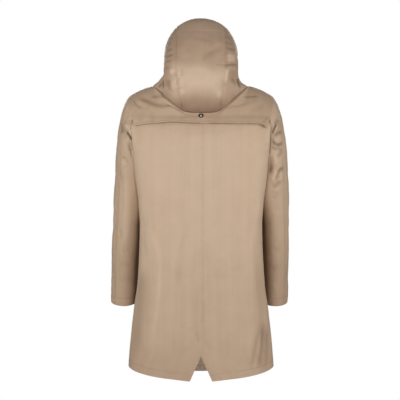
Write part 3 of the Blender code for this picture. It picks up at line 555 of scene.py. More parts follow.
        (((-26.6, -27.9), (-25.7, -29.0), (-24.8, -30.8)), 0.8, 1.8, 0.6),
        (((-24.2, -27.1), (-23.3, -29.2), (-22.7, -31.0)), 0.9, 2.4, 1.2),
        (((-22.5, -33.2), (-23.9, -32.5), (-25.1, -31.6), (-26.1, -30.4)), 0.9, -2.6, 0.6),
        (((-23.0, -34.3), (-24.3, -33.7), (-25.6, -32.9)), 0.9, 1.6, 0.5),
        (((-23.0, -36.8), (-23.9, -35.6), (-25.0, -34.6)), 0.8, -2.0, 0.35),
        (((-26.1, -10.7), (-26.3, -13.1), (-26.5, -15.7)), 0.5, -1.8, 0.5),
        (((-23.5, -40.8), (-24.5, -41.5), (-25.5, -41.1)), 1.0, 1.6, 0.4),
        (((-24.3, -49.3), (-25.3, -48.7), (-26.3, -47.7)), 0.8, 1.5, 0.5),
        (((-23.5, -53.6), (-24.8, -53.0), (-26.4, -53.3)), 1.3, -1.4, 0.4),
        (((-22.8, -59.7), (-24.6, -58.8), (-26.4, -59.3)), 1.2, -1.2, 0.4),
        (((-23.8, -63.9), (-24.3, -65.9), (-24.1, -68.1)), 1.2, 1.2, 0.3),
    ),
    ("sleeve", "front"): (
        (((19.4, -37.2), (22.6, -39.6), (26.2, -38.9)), 0.8, -3.6, 0.3),
        (((20.6, -42.8), (23.4, -43.5), (27.4, -41.6)), 0.9, -3.0, 0.3),
        (((19.6, -47.6), (22.4, -48.4), (25.2, -47.9)), 1.1, -1.8, 0.3),
        (((-21.2, -36.4), (-24.0, -38.0), (-27.2, -37.9)), 1.0, -3.0, 0.3),
        (((-18.8, -41.0), (-22.6, -43.6), (-26.0, -43.2)), 0.8, -3.8, 0.3),
        (((-20.8, -48.9), (-23.8, -49.4), (-27.0, -47.4)), 1.1, -2.0, 0.3),
        (((22.6, -12.0), (22.4, -15.0), (23.4, -18.0)), 0.7, -3.0, 0.3),
        (((-22.6, -12.4), (-22.4, -15.4), (-23.6, -18.6)), 0.7, -3.0, 0.3),
    ),
    ("sleeve", "left"): (
        (((5.0, -16.0), (0.0, -19.0), (-6.0, -18.6)), 1.2, -0.8, 0.3),
        (((4.0, -25.0), (-2.0, -28.5), (-7.0, -27.5)), 1.4, -0.7, 0.3),
        (((0.5, -44.0), (-5.0, -46.5), (-10.0, -44.5)), 1.3, -1.0, 0.3),
    ),
    ("sleeve", "right"): (
        (((5.0, -16.6), (0.0, -18.6), (-6.0, -17.6)), 1.2, -0.8, 0.3),
        (((4.0, -26.0), (-2.0, -29.0), (-7.0, -28.4)), 1.4, -0.7, 0.3),
        (((0.5, -43.2), (-5.0, -45.9), (-10.0, -44.1)), 1.3, -1.0, 0.3),
    ),
    ("back", "back"): (
        (((17.2, -42.0), (15.2, -49.5), (13.6, -54.6), (13.2, -62.2), (13.7, -70.1), (15.4, -79.9)), 0.9, 1.6, 0.65),
        (((18.8, -56.5), (19.2, -65.4), (20.0, -74.8), (21.0, -84.3), (21.2, -89.4)), 2.4, -2.2, 0.6),
        (((18.7, -41.3), (18.0, -45.1), (18.2, -48.9), (17.5, -53.3), (17.7, -56.5)), 0.62, -1.6, 0.8),
        (((-19.4, -29.3), (-17.4, -43.9), (-15.7, -53.3),
          (-16.3, -65.4), (-16.9, -75.5), (-15.3, -85.0)), 1.0, 1.4, 0.4),
        (((-20.4, -33.7), (-19.1, -44.8), (-18.0, -54.3),
          (-18.6, -65.4), (-19.2, -74.8), (-18.7, -82.8)), 1.5, -2.0, 0.5),
        (((-19.6, -74.2), (-19.0, -82.8), (-16.8, -91.3)), 1.9, -2.6, 0.36),
        (((-18.2, -78.0), (-17.0, -84.3), (-15.7, -90.7)), 0.62, -1.6, 0.5),
        (((-20.0, -75.5), (-19.4, -83.1), (-18.2, -90.7)), 0.6, -1.6, 0.5),
        (((-21.4, -77.4), (-21.2, -84.3), (-20.6, -91.3)), 0.6, -1.4, 0.5),
        (((-19.0, -78.0), (-18.2, -84.3), (-16.9, -90.7)), 0.62, 1.2, 0.5),
        (((-18.0, -13.1), (-19.3, -13.4), (-20.6, -13.9), (-21.8, -14.4)), 0.36, -1.4, 2.2),
        (((21.3, -13.7), (20.6, -13.5), (19.6, -13.4)), 0.34, -1.0, 1.4),
        (((-21.2, -75.5), (-21.0, -83.7), (-19.6, -93.2)), 1.8, -2.2, 0.36),
        (((3.8, -42.6), (5.4, -50.5), (6.6, -56.5), (7.0, -60.9), (7.1, -67.3)), 1.0, -1.8, 0.34),
        (((13.4, -58.4), (13.5, -66.0), (14.4, -74.2), (15.9, -83.1)), 0.75, 1.5, 0.55),
        (((6.2, -47.0), (7.9, -52.7), (9.0, -59.7)), 1.4, 0.9, 0.3),
        (((-1.6, -50.5), (-2.8, -54.6), (-4.4, -59.7), (-6.3, -64.4)), 2.0, -1.2, 0.32),
        (((2.1, -64.1), (1.3, -68.5), (1.9, -74.2), (1.1, -80.2)), 0.8, -1.4, 0.3),
        (((-0.3, -68.5), (-0.8, -72.3), (-0.2, -76.7)), 0.7, -1.0, 0.4),
        (((1.7, -78.3), (1.1, -80.2), (0.6, -82.4)), 0.6, -1.8, 0.4),
        (((6.0, -79.3), (4.7, -77.4), (2.8, -76.3)), 0.6, 1.0, 0.5),
        (((-0.9, -81.2), (-2.2, -82.8), (-3.5, -84.6)), 0.7, -1.0, 0.4),
        (((3.5, -82.8), (4.7, -84.6), (5.7, -86.9)), 0.7, -0.9, 0.3),
        (((17.1, -20.5), (14.9, -29.0), (13.6, -38.5)), 2.4, 1.0, 0.5),
        (((-17.7, -21.1), (-17.1, -32.2), (-15.2, -43.9)), 2.4, 1.0, 0.5),
    ),
    ("front", "front"): (
        (((19.0, -32.0), (18.4, -45.0), (18.8, -58.0)), 0.9, -1.4, 0.3),
        (((-19.0, -31.0), (-18.6, -44.0), (-18.9, -59.0)), 0.9, -1.4, 0.3),
        (((12.0, -50.0), (12.8, -70.0), (13.6, -92.0)), 1.7, 1.5, 0.3),
        (((-11.4, -54.0), (-12.4, -72.0), (-13.0, -92.0)), 1.7, 1.5, 0.3),
        (((17.0, -60.0), (18.0, -76.0), (19.0, -90.0)), 1.5, -1.3, 0.3),
        (((-16.4, -62.0), (-17.4, -77.0), (-18.6, -90.0)), 1.5, -1.3, 0.3),
        (((20.5, -20.0), (17.5, -22.5), (14.0, -26.5)), 1.1, -2.0, 0.3),
        (((-20.5, -19.0), (-17.0, -22.0), (-13.5, -25.5)), 1.1, -2.0, 0.3),
        (((16.0, -5.0), (12.5, -8.5), (10.0, -13.0)), 1.2, -1.8, 0.3),
        (((-16.0, -5.0), (-12.0, -8.0), (-9.6, -12.4)), 1.2, -1.8, 0.3),
    ),
}
creaseWidth = 0.56  # cm; what is narrower falls off as a sharp crease
views = {"back": (0, (0, 1, 0)), "front": (0, (0, -1, 0)), "left": (1, (1, 0, 0)), "right": (1, (-1, 0, 0))}


def smoothLine(line, parts=7):  # a curve through the points of a fold
    line = np.array(line, float) / 100
    ends = np.vstack([2 * line[0] - line[1], line, 2 * line[-1] - line[-2]])
    t = np.linspace(0, 1, parts, endpoint=False)[:, None]
    runs = [
        0.5 * (2 * b + (c - a) * t + (2 * a - 5 * b + 4 * c - d) * t**2 + (3 * b - a - 3 * c + d) * t**3)
        for a, b, c, d in zip(ends, ends[1:], ends[2:], ends[3:])
    ]
    return np.vstack([*runs, line[-1:]])


def foldLift(seenFrom, line, width, lift, spots, normals):
    axis, way = views[seenFrom]
    flat = spots[..., [axis, 2]]
    curve = smoothLine(line)
    lengths = np.concatenate([[0], np.cumsum(np.linalg.norm(np.diff(curve, axis=0), axis=1))])
    best, place = np.full(flat.shape[:-1], 1e9), np.zeros(flat.shape[:-1])
    for start, end, before, after in zip(curve, curve[1:], lengths, lengths[1:]):
        run, off = end - start, flat - start
        t = np.clip(off @ run / (run @ run), 0, 1)
        distance = np.linalg.norm(off - t[..., None] * run, axis=-1)
        closer = distance < best
        best = np.where(closer, distance, best)
        place = np.where(closer, mix(before, after, t) / lengths[-1], place)
    share = best / (width / 100)
    fade = ease(place / 0.3 + 0.12) * ease((1 - place) / 0.3 + 0.12)  # runs out towards both ends
    facing = ease((normals @ np.array(way, float) - 0.05) / 0.45)
    sharp = np.exp(-1.5 * np.sqrt(share * share + 0.02))
    fall = hump(share) if width > creaseWidth else sharp
    return lift / 1000 * fade * facing * fall


def outwards(grid):
    return unit(np.cross(np.gradient(grid, axis=1), np.gradient(grid, axis=0)))


# cloth and how its edges are sewn; distances in metres from the edge
cloth = {
    "thickness": 0.0012, "edgeLines": (0.0012, 0.0026, 0.0044, 0.0062, 0.0082), "softness": 0.00045, "grain": 0.00012,
    "heldReach": 0.006, "creaseDepth": 0.0040, "rippleSize": 0.009, "softSize": 0.055, "fineSize": 0.021,
}
sewing = {
    "grooveReach": 0.0022, "rimReach": 0.0020, "threadReach": 0.0016, "threadDepth": 0.00045,
    "pucker": 0.00035, "puckerReach": 0.010, "threadTone": 1200,
}
# rim: a band of painted shade along the edge, for the seam groove and for the shadow under a hem or cuff
edgeKinds = {
    "free": {"groove": 0.0, "rimShade": 0.0, "band": 0.0, "stitch": 0.0},
    "joined": {"groove": 0.0003, "rimShade": 0.0, "band": 0.0, "stitch": 0.0},
    "seam": {"groove": 0.0009, "rimShade": 1.0, "band": 0.0, "stitch": 0.0},
    "centre": {"groove": 0.0002, "rimShade": 0.1, "band": 0.0, "stitch": 0.0},
    "felled": {"groove": 0.0002, "rimShade": 0.1, "band": 0.0002, "stitch": 0.0065},
    "stitched": {"groove": 0.0012, "rimShade": 1.0, "band": 0.0006, "stitch": 0.0065},
    "flap": {"groove": 0.0, "rimShade": 0.0, "band": 0.0005, "stitch": 0.0065},
    "hem": {"groove": 0.0, "rimShade": 0.5, "band": 0.0006, "stitch": 0.0220},
    "cuff": {"groove": 0.0, "rimShade": 1.5, "band": 0.0006, "stitch": 0.0260},
}


def edgeRelief(kind, away, ripple):  # lift of the cloth near a sewn edge and its tone: painted shade along the edge, plus the darker thread line
    values = edgeKinds[kind]
    lift = -values["groove"] * hump(away / sewing["grooveReach"])
    tone = values["rimShade"] * hump(away / sewing["rimReach"])
    if values["stitch"]:
        past = (away - values["stitch"]) / sewing["threadReach"]
        lift = lift + values["band"] * (1 - ease(past / 2 + 0.5)) - sewing["threadDepth"] * hump(past)
        lift = lift + sewing["pucker"] * ripple * hump((away - values["stitch"]) / sewing["puckerReach"])
        tone = tone + sewing["threadTone"] * values["band"] * hump(past)
    return lift, tone


def gridLines(length, step):  # closer together beside the edges
    near = np.array((0, *cloth["edgeLines"]))
    inner = np.linspace(near[-1], length - near[-1], max(3, round((length - 2 * near[-1]) / step) + 1))
    return np.concatenate([near[:-1], inner, length - near[-2::-1]]) / length


def softNoise(grid, size, seed):
    flat = grid.reshape(-1, 3) / size + seed
    return np.array([noise.noise(Vector(spot)) for spot in flat]).reshape(grid.shape[:-1])


def clothPiece(node, surface, spec, side=1):
    lines = [gridLines(spec[size], spec["step"]) for size in ("width", "length")]
    across, along = np.meshgrid(*lines)
    grid = surface(across, along)
    grid[..., 0] *= side
    facing = spec["facing"] * side
    normals = outwards(grid) * facing
    fromLeft = np.cumsum(np.linalg.norm(np.diff(grid, axis=1, prepend=grid[:, :1]), axis=2), axis=1)
    fromLow = np.cumsum(np.linalg.norm(np.diff(grid, axis=0, prepend=grid[:1]), axis=2), axis=0)
    away = {"left": fromLeft, "right": fromLeft[:, -1:] - fromLeft, "low": fromLow, "top": fromLow[-1:] - fromLow}
    ripple = softNoise(grid, cloth["rippleSize"], 3.0)
    soft = softNoise(grid, cloth["softSize"], 9.0) + 0.45 * softNoise(grid, cloth["fineSize"], 5.0)
    lift = spec.get("softness", cloth["softness"]) * 2 * soft + cloth["grain"] * 2 * ripple
    tone, relief, slack = np.zeros_like(lift), np.zeros_like(lift), np.ones_like(lift)
    crease = np.zeros_like(lift)
    for edge, kind in spec["edges"].items():
        more, darker = edgeRelief(kind, away[edge], ripple)
        relief, tone = relief + more, np.maximum(tone, darker)
    # each fold is also painted: shade in its trough, light on its ridge; the piece's shade function adds more painted
    # shade and light
    for (group, seenFrom), rows in folds.items():
        for line, width, depth, shown in rows if group == spec["folds"] else ():
            more = foldLift(seenFrom, line, width, depth, grid, normals)
            lift, crease = lift + more, crease + more / cloth["creaseDepth"] * shown
    crease = np.clip(crease - spec["shade"](grid, across, away), -1, 1)
    crease = crease * np.abs(crease) ** 0.25
    for edge in spec["heldAt"]:
        slack = slack * ease(away[edge] / cloth["heldReach"])
    grid = grid + normals * (relief + lift * slack)[..., None]
    normals = outwards(grid) * facing

    columns, rows = across.shape[1] - 1, across.shape[0] - 1
    bm = bmesh.new()
    bmesh.ops.create_grid(bm, x_segments=columns, y_segments=rows, size=0.5)
    grown = bmesh.ops.extrude_face_region(bm, geom=bm.faces[:], use_keep_orig=True)
    bmesh.ops.translate(bm, verts=[v for v in grown["geom"] if isinstance(v, bmesh.types.BMVert)], vec=(0, 0, -1))
    for face in bm.faces:
        middle = face.calc_center_median().z
        face.smooth, face.material_index = True, int(middle < -0.9)
        if -0.9 < middle < -0.1:
            for edge in face.edges:
                edge.smooth = abs(edge.verts[0].co.z - edge.verts[1].co.z) > 0.5
    flat = np.array([vert.co for vert in bm.verts])
    column = np.rint((flat[:, 0] + 0.5) * columns).astype(int)
    row = np.rint((flat[:, 1] + 0.5) * rows).astype(int)
    deep = -flat[:, 2:]
    placed = grid[row, column] - normals[row, column] * cloth["thickness"] * deep
    for vert, spot in zip(bm.verts, placed):
        vert.co = spot
    bmesh.ops.recalc_face_normals(bm, faces=bm.faces)
    if bm.calc_volume(signed=True) < 0:
        bmesh.ops.reverse_faces(bm, faces=bm.faces)
    mesh = bpy.data.meshes.new(node + "_cloth")
    bm.to_mesh(mesh)
    bm.free()
    corner = np.zeros(len(mesh.loops), np.int32)
    mesh.loops.foreach_get("vertex_index", corner)
    cut = np.stack([fromLeft[row, column], fromLow[row, column]], axis=1)[corner]
    mesh.uv_layers.new(name="cut").data.foreach_set("uv", cut.astype(np.float32).ravel())
    # tones painted on the cloth: seam-groove shade with the thread lines, fold shade and light, and each piece's
    # painted shade
    for name, values in (("seamShadeAndThread", tone), ("foldShadeAndLight", crease), ("paintedShadeTone", spec["tone"](grid))):
        mesh.attributes.new(name, "FLOAT", "POINT").data.foreach_set("value", values[row, column].astype(np.float32))
    for finish in (finishes["rainCloth"], finishes["inside"]):
        mesh.materials.append(finish)
    piece = bpy.data.objects.new(node + "_cloth", mesh)
    bpy.context.scene.collection.objects.link(piece)
    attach(piece, "root")
    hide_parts(node)
    cells = np.linalg.norm(np.cross(np.diff(grid[:-1], axis=1), np.diff(grid[:, :-1], axis=0)), axis=2)
    print(node, "cloth", len(mesh.polygons), "faces,", round(float(cells.sum()), 4), "square metres")
    sewn[node] = {"grid": grid, "normals": normals, "away": away, "edges": spec["edges"]}
    return piece


# materials: one class for a material being made, one for a socket in it
class Link:
    def __init__(self, finish, socket):
        self.finish, self.socket = finish, socket

    def maths(self, operation, first, second):
        return self.finish.node("ShaderNodeMath", {"operation": operation}, {0: first, 1: second})

    def __add__(self, other): return self.maths("ADD", self, other)
    def __radd__(self, other): return self.maths("ADD", other, self)
    def __sub__(self, other): return self.maths("SUBTRACT", self, other)
    def __rsub__(self, other): return self.maths("SUBTRACT", other, self)
    def __mul__(self, other): return self.maths("MULTIPLY", self, other)
    def __rmul__(self, other): return self.maths("MULTIPLY", other, self)


class Finish:
    def __init__(self, name, colour, values):
        self.material = bpy.data.materials.new(name)
        self.material.use_nodes = True
        self.material.diffuse_color = (*colour, 1)
        self.tree = self.material.node_tree
        self.shader = self.tree.nodes["Principled BSDF"]
        self.shader.inputs["Base Color"].default_value = (*colour, 1)
        for socket, value in values.items():
            self.shader.inputs[socket].default_value = value

    def node(self, kind, settings=None, sockets=None, out=0):
        made = self.tree.nodes.new(kind)
        for name, value in (settings or {}).items():
            if name == "stops":
                for stop, (place, colour) in zip(made.color_ramp.elements, value):
                    stop.position, stop.color = place, (*colour, 1)
            else:
                setattr(made, name, value)
        for name, value in (sockets or {}).items():
            if isinstance(value, Link):
                self.tree.links.new(value.socket, made.inputs[name])
            else:
                made.inputs[name].default_value = value
        return Link(self, made.outputs[out])

    def feed(self, name, link):
        self.tree.links.new(link.socket, self.shader.inputs[name])


rainCloth = {
    # mean, dark and pale colour, then roughness
    "outside": ((0.500, 0.362, 0.252), (0.465, 0.333, 0.229), (0.535, 0.391, 0.275), 0.46),
    # the inside is coloured paler than the outside as painted light, so that it looks lit where little light reaches
    # it
    "inside": ((0.80, 0.625, 0.475), (0.77, 0.60, 0.455), (0.83, 0.65, 0.495), 0.66),
    # painted over the ground: a shade colour for the cloth tones, the seam colour for seam-groove shade and thread
    # lines, a shadow colour for crease hollows and a highlight colour for ridges
    "paintedShade": (0.215, 0.117, 0.078), "seam": (0.300, 0.200, 0.128), "hollow": (0.075, 0.034, 0.012),
    "ridge": (0.640, 0.480, 0.345), "seamShare": 0.40, "hollowShare": 0.92, "ridgeShare": 0.75,
    "weavePitch": 0.0007, "streaks": (38.0, 1.1, 1.0), "threadColour": (0.33, 0.228, 0.152),
}
# the centre's pale colour is a painted highlight on a polished dome
studMetal = {"ring": (0.030, 0.021, 0.015), "centre": (0.86, 0.82, 0.77)}


def clothFinish(name, colour, dark, pale, roughness):
    finish = Finish(name, colour, {"Specular IOR Level": 0.14})
    cut = finish.node("ShaderNodeUVMap", {"uv_map": "cut"})
    streakMap = finish.node("ShaderNodeMapping", {}, {"Vector": cut, "Scale": rainCloth["streaks"]})
    streaks, blotches = (
        finish.node("ShaderNodeTexNoise", {}, {"Vector": place, "Scale": scale, "Detail": 3.0, "Roughness": rough})
        for place, scale, rough in ((streakMap, 1.0, 0.6), (cut, 14.0, 0.55))
    )
    threads = 1.0 / rainCloth["weavePitch"] / 2
    bands = {"Vector": cut, "Scale": threads / 3.14, "Distortion": 0.4, "Detail": 1.0, "Detail Scale": 3.0}
    warp, weft = (
        finish.node("ShaderNodeTexWave", {"wave_type": "BANDS", "bands_direction": way}, bands) for way in ("X", "Y")
    )
    weave = warp * weft
    shade = streaks * 0.55 + blotches * 0.45 + (weave - 0.25) * 0.10
    ground = finish.node("ShaderNodeValToRGB", {"stops": ((0.30, dark), (0.70, pale))}, {"Fac": shade})
    tone, crease, paintedShade = (
        finish.node("ShaderNodeAttribute", {"attribute_name": attribute}, out=2)
        for attribute in ("seamShadeAndThread", "foldShadeAndLight", "paintedShadeTone")
    )
    # layers of painted shade and painted light over the ground colour
    layers = {
        "paintedShade": 1.0 - paintedShade,
        "seam": tone * rainCloth["seamShare"],
        "hollow": crease.maths("MINIMUM", crease, 0.0) * -rainCloth["hollowShare"],
        "ridge": crease.maths("MAXIMUM", crease, 0.0) * rainCloth["ridgeShare"],
    }
    for layer, share in layers.items():
        sockets = {"Factor": share, 6: ground, 7: (*rainCloth[layer], 1)}  # 6 and 7 are its two colours
        ground = finish.node("ShaderNodeMix", {"data_type": "RGBA"}, sockets, out=2)
    finish.feed("Base Color", ground)
    finish.feed("Roughness", roughness - 0.10 + blotches * 0.12 + streaks * 0.08)
    bump = finish.node("ShaderNodeBump", {}, {"Strength": 0.12, "Distance": 0.0001, "Height": weave + blotches * 0.8})
    finish.feed("Normal", bump)
    return finish.material


finishes = {
    "rainCloth": clothFinish("rainCloth", *rainCloth["outside"]),
    "inside": clothFinish("rainClothInside", *rainCloth["inside"]),
}


def plainFinish(name, colour, values, mottle):  # a small part's finish, a little uneven
    finish = Finish(name, colour, values)
    place = finish.node("ShaderNodeTexCoord", out=3)
    uneven = finish.node("ShaderNodeTexNoise", {}, {"Vector": place, "Scale": 900.0, "Detail": 2.0})
    darker = tuple(0.75 * part for part in colour)
    stops = {"stops": ((0.35, darker), (0.65, colour))}
    finish.feed("Base Color", finish.node("ShaderNodeValToRGB", stops, {"Fac": uneven}))
    finish.feed("Roughness", values["Roughness"] - mottle / 2 + uneven * mottle)
    return finish.material


finishes["thread"] = plainFinish("thread", rainCloth["threadColour"], {"Roughness": 0.7}, 0.2)
finishes["studRing"] = plainFinish("studRing", studMetal["ring"], {"Roughness": 0.32, "Metallic": 0.85}, 0.15)
finishes["studCentre"] = plainFinish("studCentre", studMetal["centre"], {"Roughness": 0.30, "Metallic": 0.35}, 0.2)
print("finishes made:", ", ".join(finishes))

sewn = {}  # each panel's finished points, for the stitching


# tones: 1 is the plain cloth, lower is painted darker as shade; heights and widths in metres
bodyPaintedShades = {"low": 0.90, "from": -0.44, "reach": 0.44, "hem": (0.85, 0.95), "hemFrom": -0.78, "hemReach": 0.12}
sleevePaintedShades = {"low": (0.90, 0.76), "from": -0.44, "reach": 0.24}  # pairs are left and right
yokePaintedShades = {"right": 0.80, "left": 0.92, "from": -0.06, "reach": 0.19}
hoodPaintedShades = {"beside": 0.93, "besideFrom": 0.070, "besideAbove": 0.01, "reach": 0.03}
hoodPaintedPaleness = Profile("z tone", (
    (-0.100, 0.32), (-0.070, 0.42), (-0.035, 0.74), (0.000, 0.82),
    (0.070, 0.77), (0.130, 0.70), (0.170, 0.76), (0.200, 0.96),
))


def bodyPaintedShade(grid):  # painted shade, a little darker towards the hem
    x, z = grid[..., 0], grid[..., 2]
    low = mix(1.0, bodyPaintedShades["low"], ease((bodyPaintedShades["from"] - z) / bodyPaintedShades["reach"]))
    return low * mix(1.0, np.where(x > 0, *bodyPaintedShades["hem"]), ease((bodyPaintedShades["hemFrom"] - z) / bodyPaintedShades["hemReach"]))


def sleevePaintedShade(grid):  # painted shade, darker towards the cuff
    low = np.where(grid[..., 0] >= 0, *sleevePaintedShades["low"])
    return mix(1.0, low, ease((sleevePaintedShades["from"] - grid[..., 2]) / sleevePaintedShades["reach"]))


def yokePaintedShade(grid):  # painted shade over the yoke, a little lighter on its left half
    return mix(yokePaintedShades["right"], yokePaintedShades["left"], ease((grid[..., 0] - yokePaintedShades["from"]) / yokePaintedShades["reach"]))


def hoodPaintedShade(grid):  # painted shade: the hood's top, its sides and its base are darker than its bag
    x, z = np.abs(grid[..., 0]), grid[..., 2]
    far = ease((x - hoodPaintedShades["besideFrom"]) / hoodPaintedShades["reach"])
    high = ease((z - hoodPaintedShades["besideAbove"]) / hoodPaintedShades["reach"])
    pale = hoodPaintedPaleness.read("tone", np.clip(z, hoodPaintedPaleness.stops[0], hoodPaintedPaleness.stops[-1]))
    return pale * mix(1.0, hoodPaintedShades["beside"], far * high)


# shades: how much darker a place is painted than its folds make it, as painted shade; below 0 painted light
sleeveShades = {
    "under": 1.35, "from": (148.0, 98.0), "to": 168.0, "drop": (-0.31, 0.13), "sideShift": (26.0, -4.0),  # right, left
    "below": (-0.20, 0.08), "seam": (0.65, 0.12), "seamReach": 0.010, "seamBelow": (-0.122, 0.02),
}
hoodLightAndShadeParts = {
    "bag": 0.80, "bagTop": 0.078, "bagTilt": 0.14, "bagFoot": -0.052, "bagFootSlope": 0.35, "bagLeft": 0.114,
    "bagRight": 0.094, "bagEdge": 0.036, "bagUpperEdge": 0.048, "bagLowerEdge": 0.05, "topSeam": 0.35,
    "middle": 0.060, "middleEdge": 0.03, "base": 0.24, "baseReach": 0.024,
    "seam": 0.45, "seamAt": 0.005, "seamReach": 0.004, "sideSeam": 0.30, "sideSeamReach": 0.006,
}
backPaintedLightParts = {"blades": -0.28, "below": (-0.13, 0.06), "above": (-0.46, 0.16)}


def noShade(grid, across, away):
    return np.zeros(grid.shape[:-1])


def drop(z, bounds):  # grows from 0 to 1 on the way down from a height
    return ease((bounds[0] - z) / bounds[1])


def innerShade(grid, across, away):  # painted shade where the sleeve lies against the body, more so on the right
    z, right, shades = grid[..., 2], grid[..., 0] < 0, sleeveShades
    angle = mix(columnAngle(sleeve["seamColumn"]), 180.0, across)
    start = mix(*shades["from"], drop(z, shades["drop"])) - np.where(right, *shades["sideShift"])
    under = ease((angle - start) / (shades["to"] - start)) * drop(z, shades["below"])
    beside = np.where(right, *shades["seam"]) * hump(away["top"] / shades["seamReach"]) * drop(z, shades["seamBelow"])
    return np.maximum(shades["under"] * under, beside)


def hoodLightAndShade(grid, across, away):  # painted shade along the neck seam, painted light over the bag, along the top seam and beside the side seams
    x, z, low, shades = grid[..., 0], grid[..., 2], away["low"], hoodLightAndShadeParts
    upper = shades["bagTop"] + shades["bagTilt"] * x + 0.005 * np.sin(70 * x + 1)
    foot = shades["bagFoot"] - shades["bagFootSlope"] * np.maximum(np.abs(x) - 0.02, 0)
    bag = ease((shades["bagLeft"] - x) / shades["bagEdge"]) * ease((x + shades["bagRight"]) / shades["bagEdge"])
    bag = bag * ease((upper - z) / shades["bagUpperEdge"]) * ease((z - foot) / shades["bagLowerEdge"])
    light = shades["bag"] * bag + shades["topSeam"] * hump((away["top"] - 0.003) / 0.003) * (np.abs(x) < 0.09)
    middle = 1 - ease((np.abs(x) - shades["middle"]) / shades["middleEdge"])
    fromSeam = low - shades["seamAt"]
    seam = shades["base"] * hump(low / shades["baseReach"]) + shades["seam"] * hump(fromSeam / shades["seamReach"])
    side = shades["sideSeam"] * (1 - middle) * hump(fromSeam / shades["sideSeamReach"])
    return middle * seam - side - light


def backPaintedLight(grid, across, away):  # painted light, palest over the shoulder blades
    z = grid[..., 2]
    return backPaintedLightParts["blades"] * drop(z, backPaintedLightParts["below"]) * (1 - drop(z, backPaintedLightParts["above"]))


sides = {"left": 1, "right": -1}

# back, yoke and fronts
backPanel = {
    "width": 0.310, "length": 0.850, "step": 0.0036, "facing": -1, "folds": "back", "heldAt": ("right", "top"),
    "tone": bodyPaintedShade, "shade": backPaintedLight,
    "edges": {"left": "seam", "right": "joined", "low": "hem", "top": "free"},
    "flat": (0.335, 0.850), "area": 0.260, "hangsFrom": ["back_yoke"],
}
frontPanel = {
    "width": 0.300, "length": 1.000, "step": 0.0042, "facing": 1, "folds": "front", "heldAt": ("right", "top"),
    "tone": bodyPaintedShade, "shade": noShade,
    "edges": {"left": "free", "right": "joined", "low": "hem", "top": "joined"},
    "flat": (0.325, 0.960), "area": 0.232, "hangsFrom": ["back_yoke"],
}
backYoke = {
    "width": 0.520, "length": 0.165, "step": 0.0024, "facing": -1, "folds": "yoke", "heldAt": ("left", "right", "top"),
    "tone": yokePaintedShade, "shade": noShade,
    "edges": {"left": "joined", "right": "joined", "low": "flap", "top": "joined"},
    "flat": (0.540, 0.190), "area": 0.0534, "hangsFrom": ["front_left", "front_right"],
}
frontPlacket = {
    "width": 0.062, "length": 0.900, "step": 0.0042, "facing": 1, "folds": "front", "heldAt": ("top",),
    "tone": bodyPaintedShade, "shade": noShade,
    "edges": {"left": "flap", "right": "flap", "low": "hem", "top": "flap"},
    "flat": (0.062, 0.900), "area": 0.055, "hangsFrom": ["front_left", "front_right"],
}
for name, side in sides.items():
    kind = "felled" if name == "right" else "centre"  # the centre seam is topstitched on one side
    clothPiece("back_" + name, backSurface, {**backPanel, "edges": {**backPanel["edges"], "left": kind}}, side)
    clothPiece("front_" + name, frontSurface, frontPanel, side)
clothPiece("back_yoke", yokeSurface, backYoke)
clothPiece("front_placket", placketSurface, frontPlacket)

# hood
hoodBack = {
    "width": 0.165, "length": 0.290, "step": 0.0023, "facing": -1, "folds": "hood", "heldAt": ("low",),
    "tone": hoodPaintedShade, "shade": hoodLightAndShade, "softness": 0.0008,
    "edges": {"left": "stitched", "right": "stitched", "low": "free", "top": "felled"},
    "flat": (0.170, 0.290), "area": 0.0485, "hangsFrom": ["back_yoke"],
}
hoodCrown = {
    "width": 0.165, "length": 0.245, "step": 0.0026, "facing": -1, "folds": "hood", "heldAt": (),
    "tone": hoodPaintedShade, "shade": noShade,
    "edges": {"left": "stitched", "right": "stitched", "low": "centre", "top": "hem"},
    "flat": (0.170, 0.245), "area": 0.0376, "hangsFrom": ["hood_back"],
}
hoodSidePanel = {
    "width": 0.290, "length": 0.300, "step": 0.0025, "facing": -1, "folds": "hood", "heldAt": ("low",),
    "tone": hoodPaintedShade, "shade": hoodLightAndShade, "softness": 0.0008,
    "edges": {"left": "seam", "right": "free", "low": "free", "top": "hem"},
    "flat": (0.300, 0.420), "area": 0.0675, "hangsFrom": ["back_yoke"],
}
clothPiece("hood_back", hoodMiddle(hood["tuckedEdge"], hood["crownSeam"]), hoodBack)
clothPiece("hood_crown", hoodMiddle(hood["crownSeam"], 1.0), hoodCrown)
for name, side in sides.items():
    clothPiece("hood_side_" + name, hoodSide, hoodSidePanel, side)

# sleeves
sleeveBack = {
    "width": 0.150, "length": 0.640, "step": 0.0021, "facing": 1, "folds": "sleeve", "heldAt": ("top",),
    "tone": sleevePaintedShade, "shade": innerShade, "softness": 0.0008,
    "edges": {"left": "seam", "right": "seam", "low": "cuff", "top": "joined"},
    "flat": (0.190, 0.650), "area": 0.0765, "hangsFrom": ["back_yoke"],
}
sleeveFront = {
    "width": 0.250, "length": 0.640, "step": 0.0026, "facing": 1, "folds": "sleeve", "heldAt": ("top",),
    "tone": sleevePaintedShade, "shade": noShade, "softness": 0.0008,
    "edges": {"left": "seam", "right": "stitched", "low": "cuff", "top": "joined"},
    "flat": (0.300, 0.650), "area": 0.1494, "hangsFrom": ["back_yoke"],
}
seams = (sleeve["seamColumn"], sleeve["armpitColumn"], sleeve["seamColumn"] + sleeve["turns"])
for name, side in sides.items():
    clothPiece(f"sleeve_{name}_back", sleevePiece(*seams[:2], name), sleeveBack, side)
    clothPiece(f"sleeve_{name}_front", sleevePiece(*seams[1:], name), sleeveFront, side)

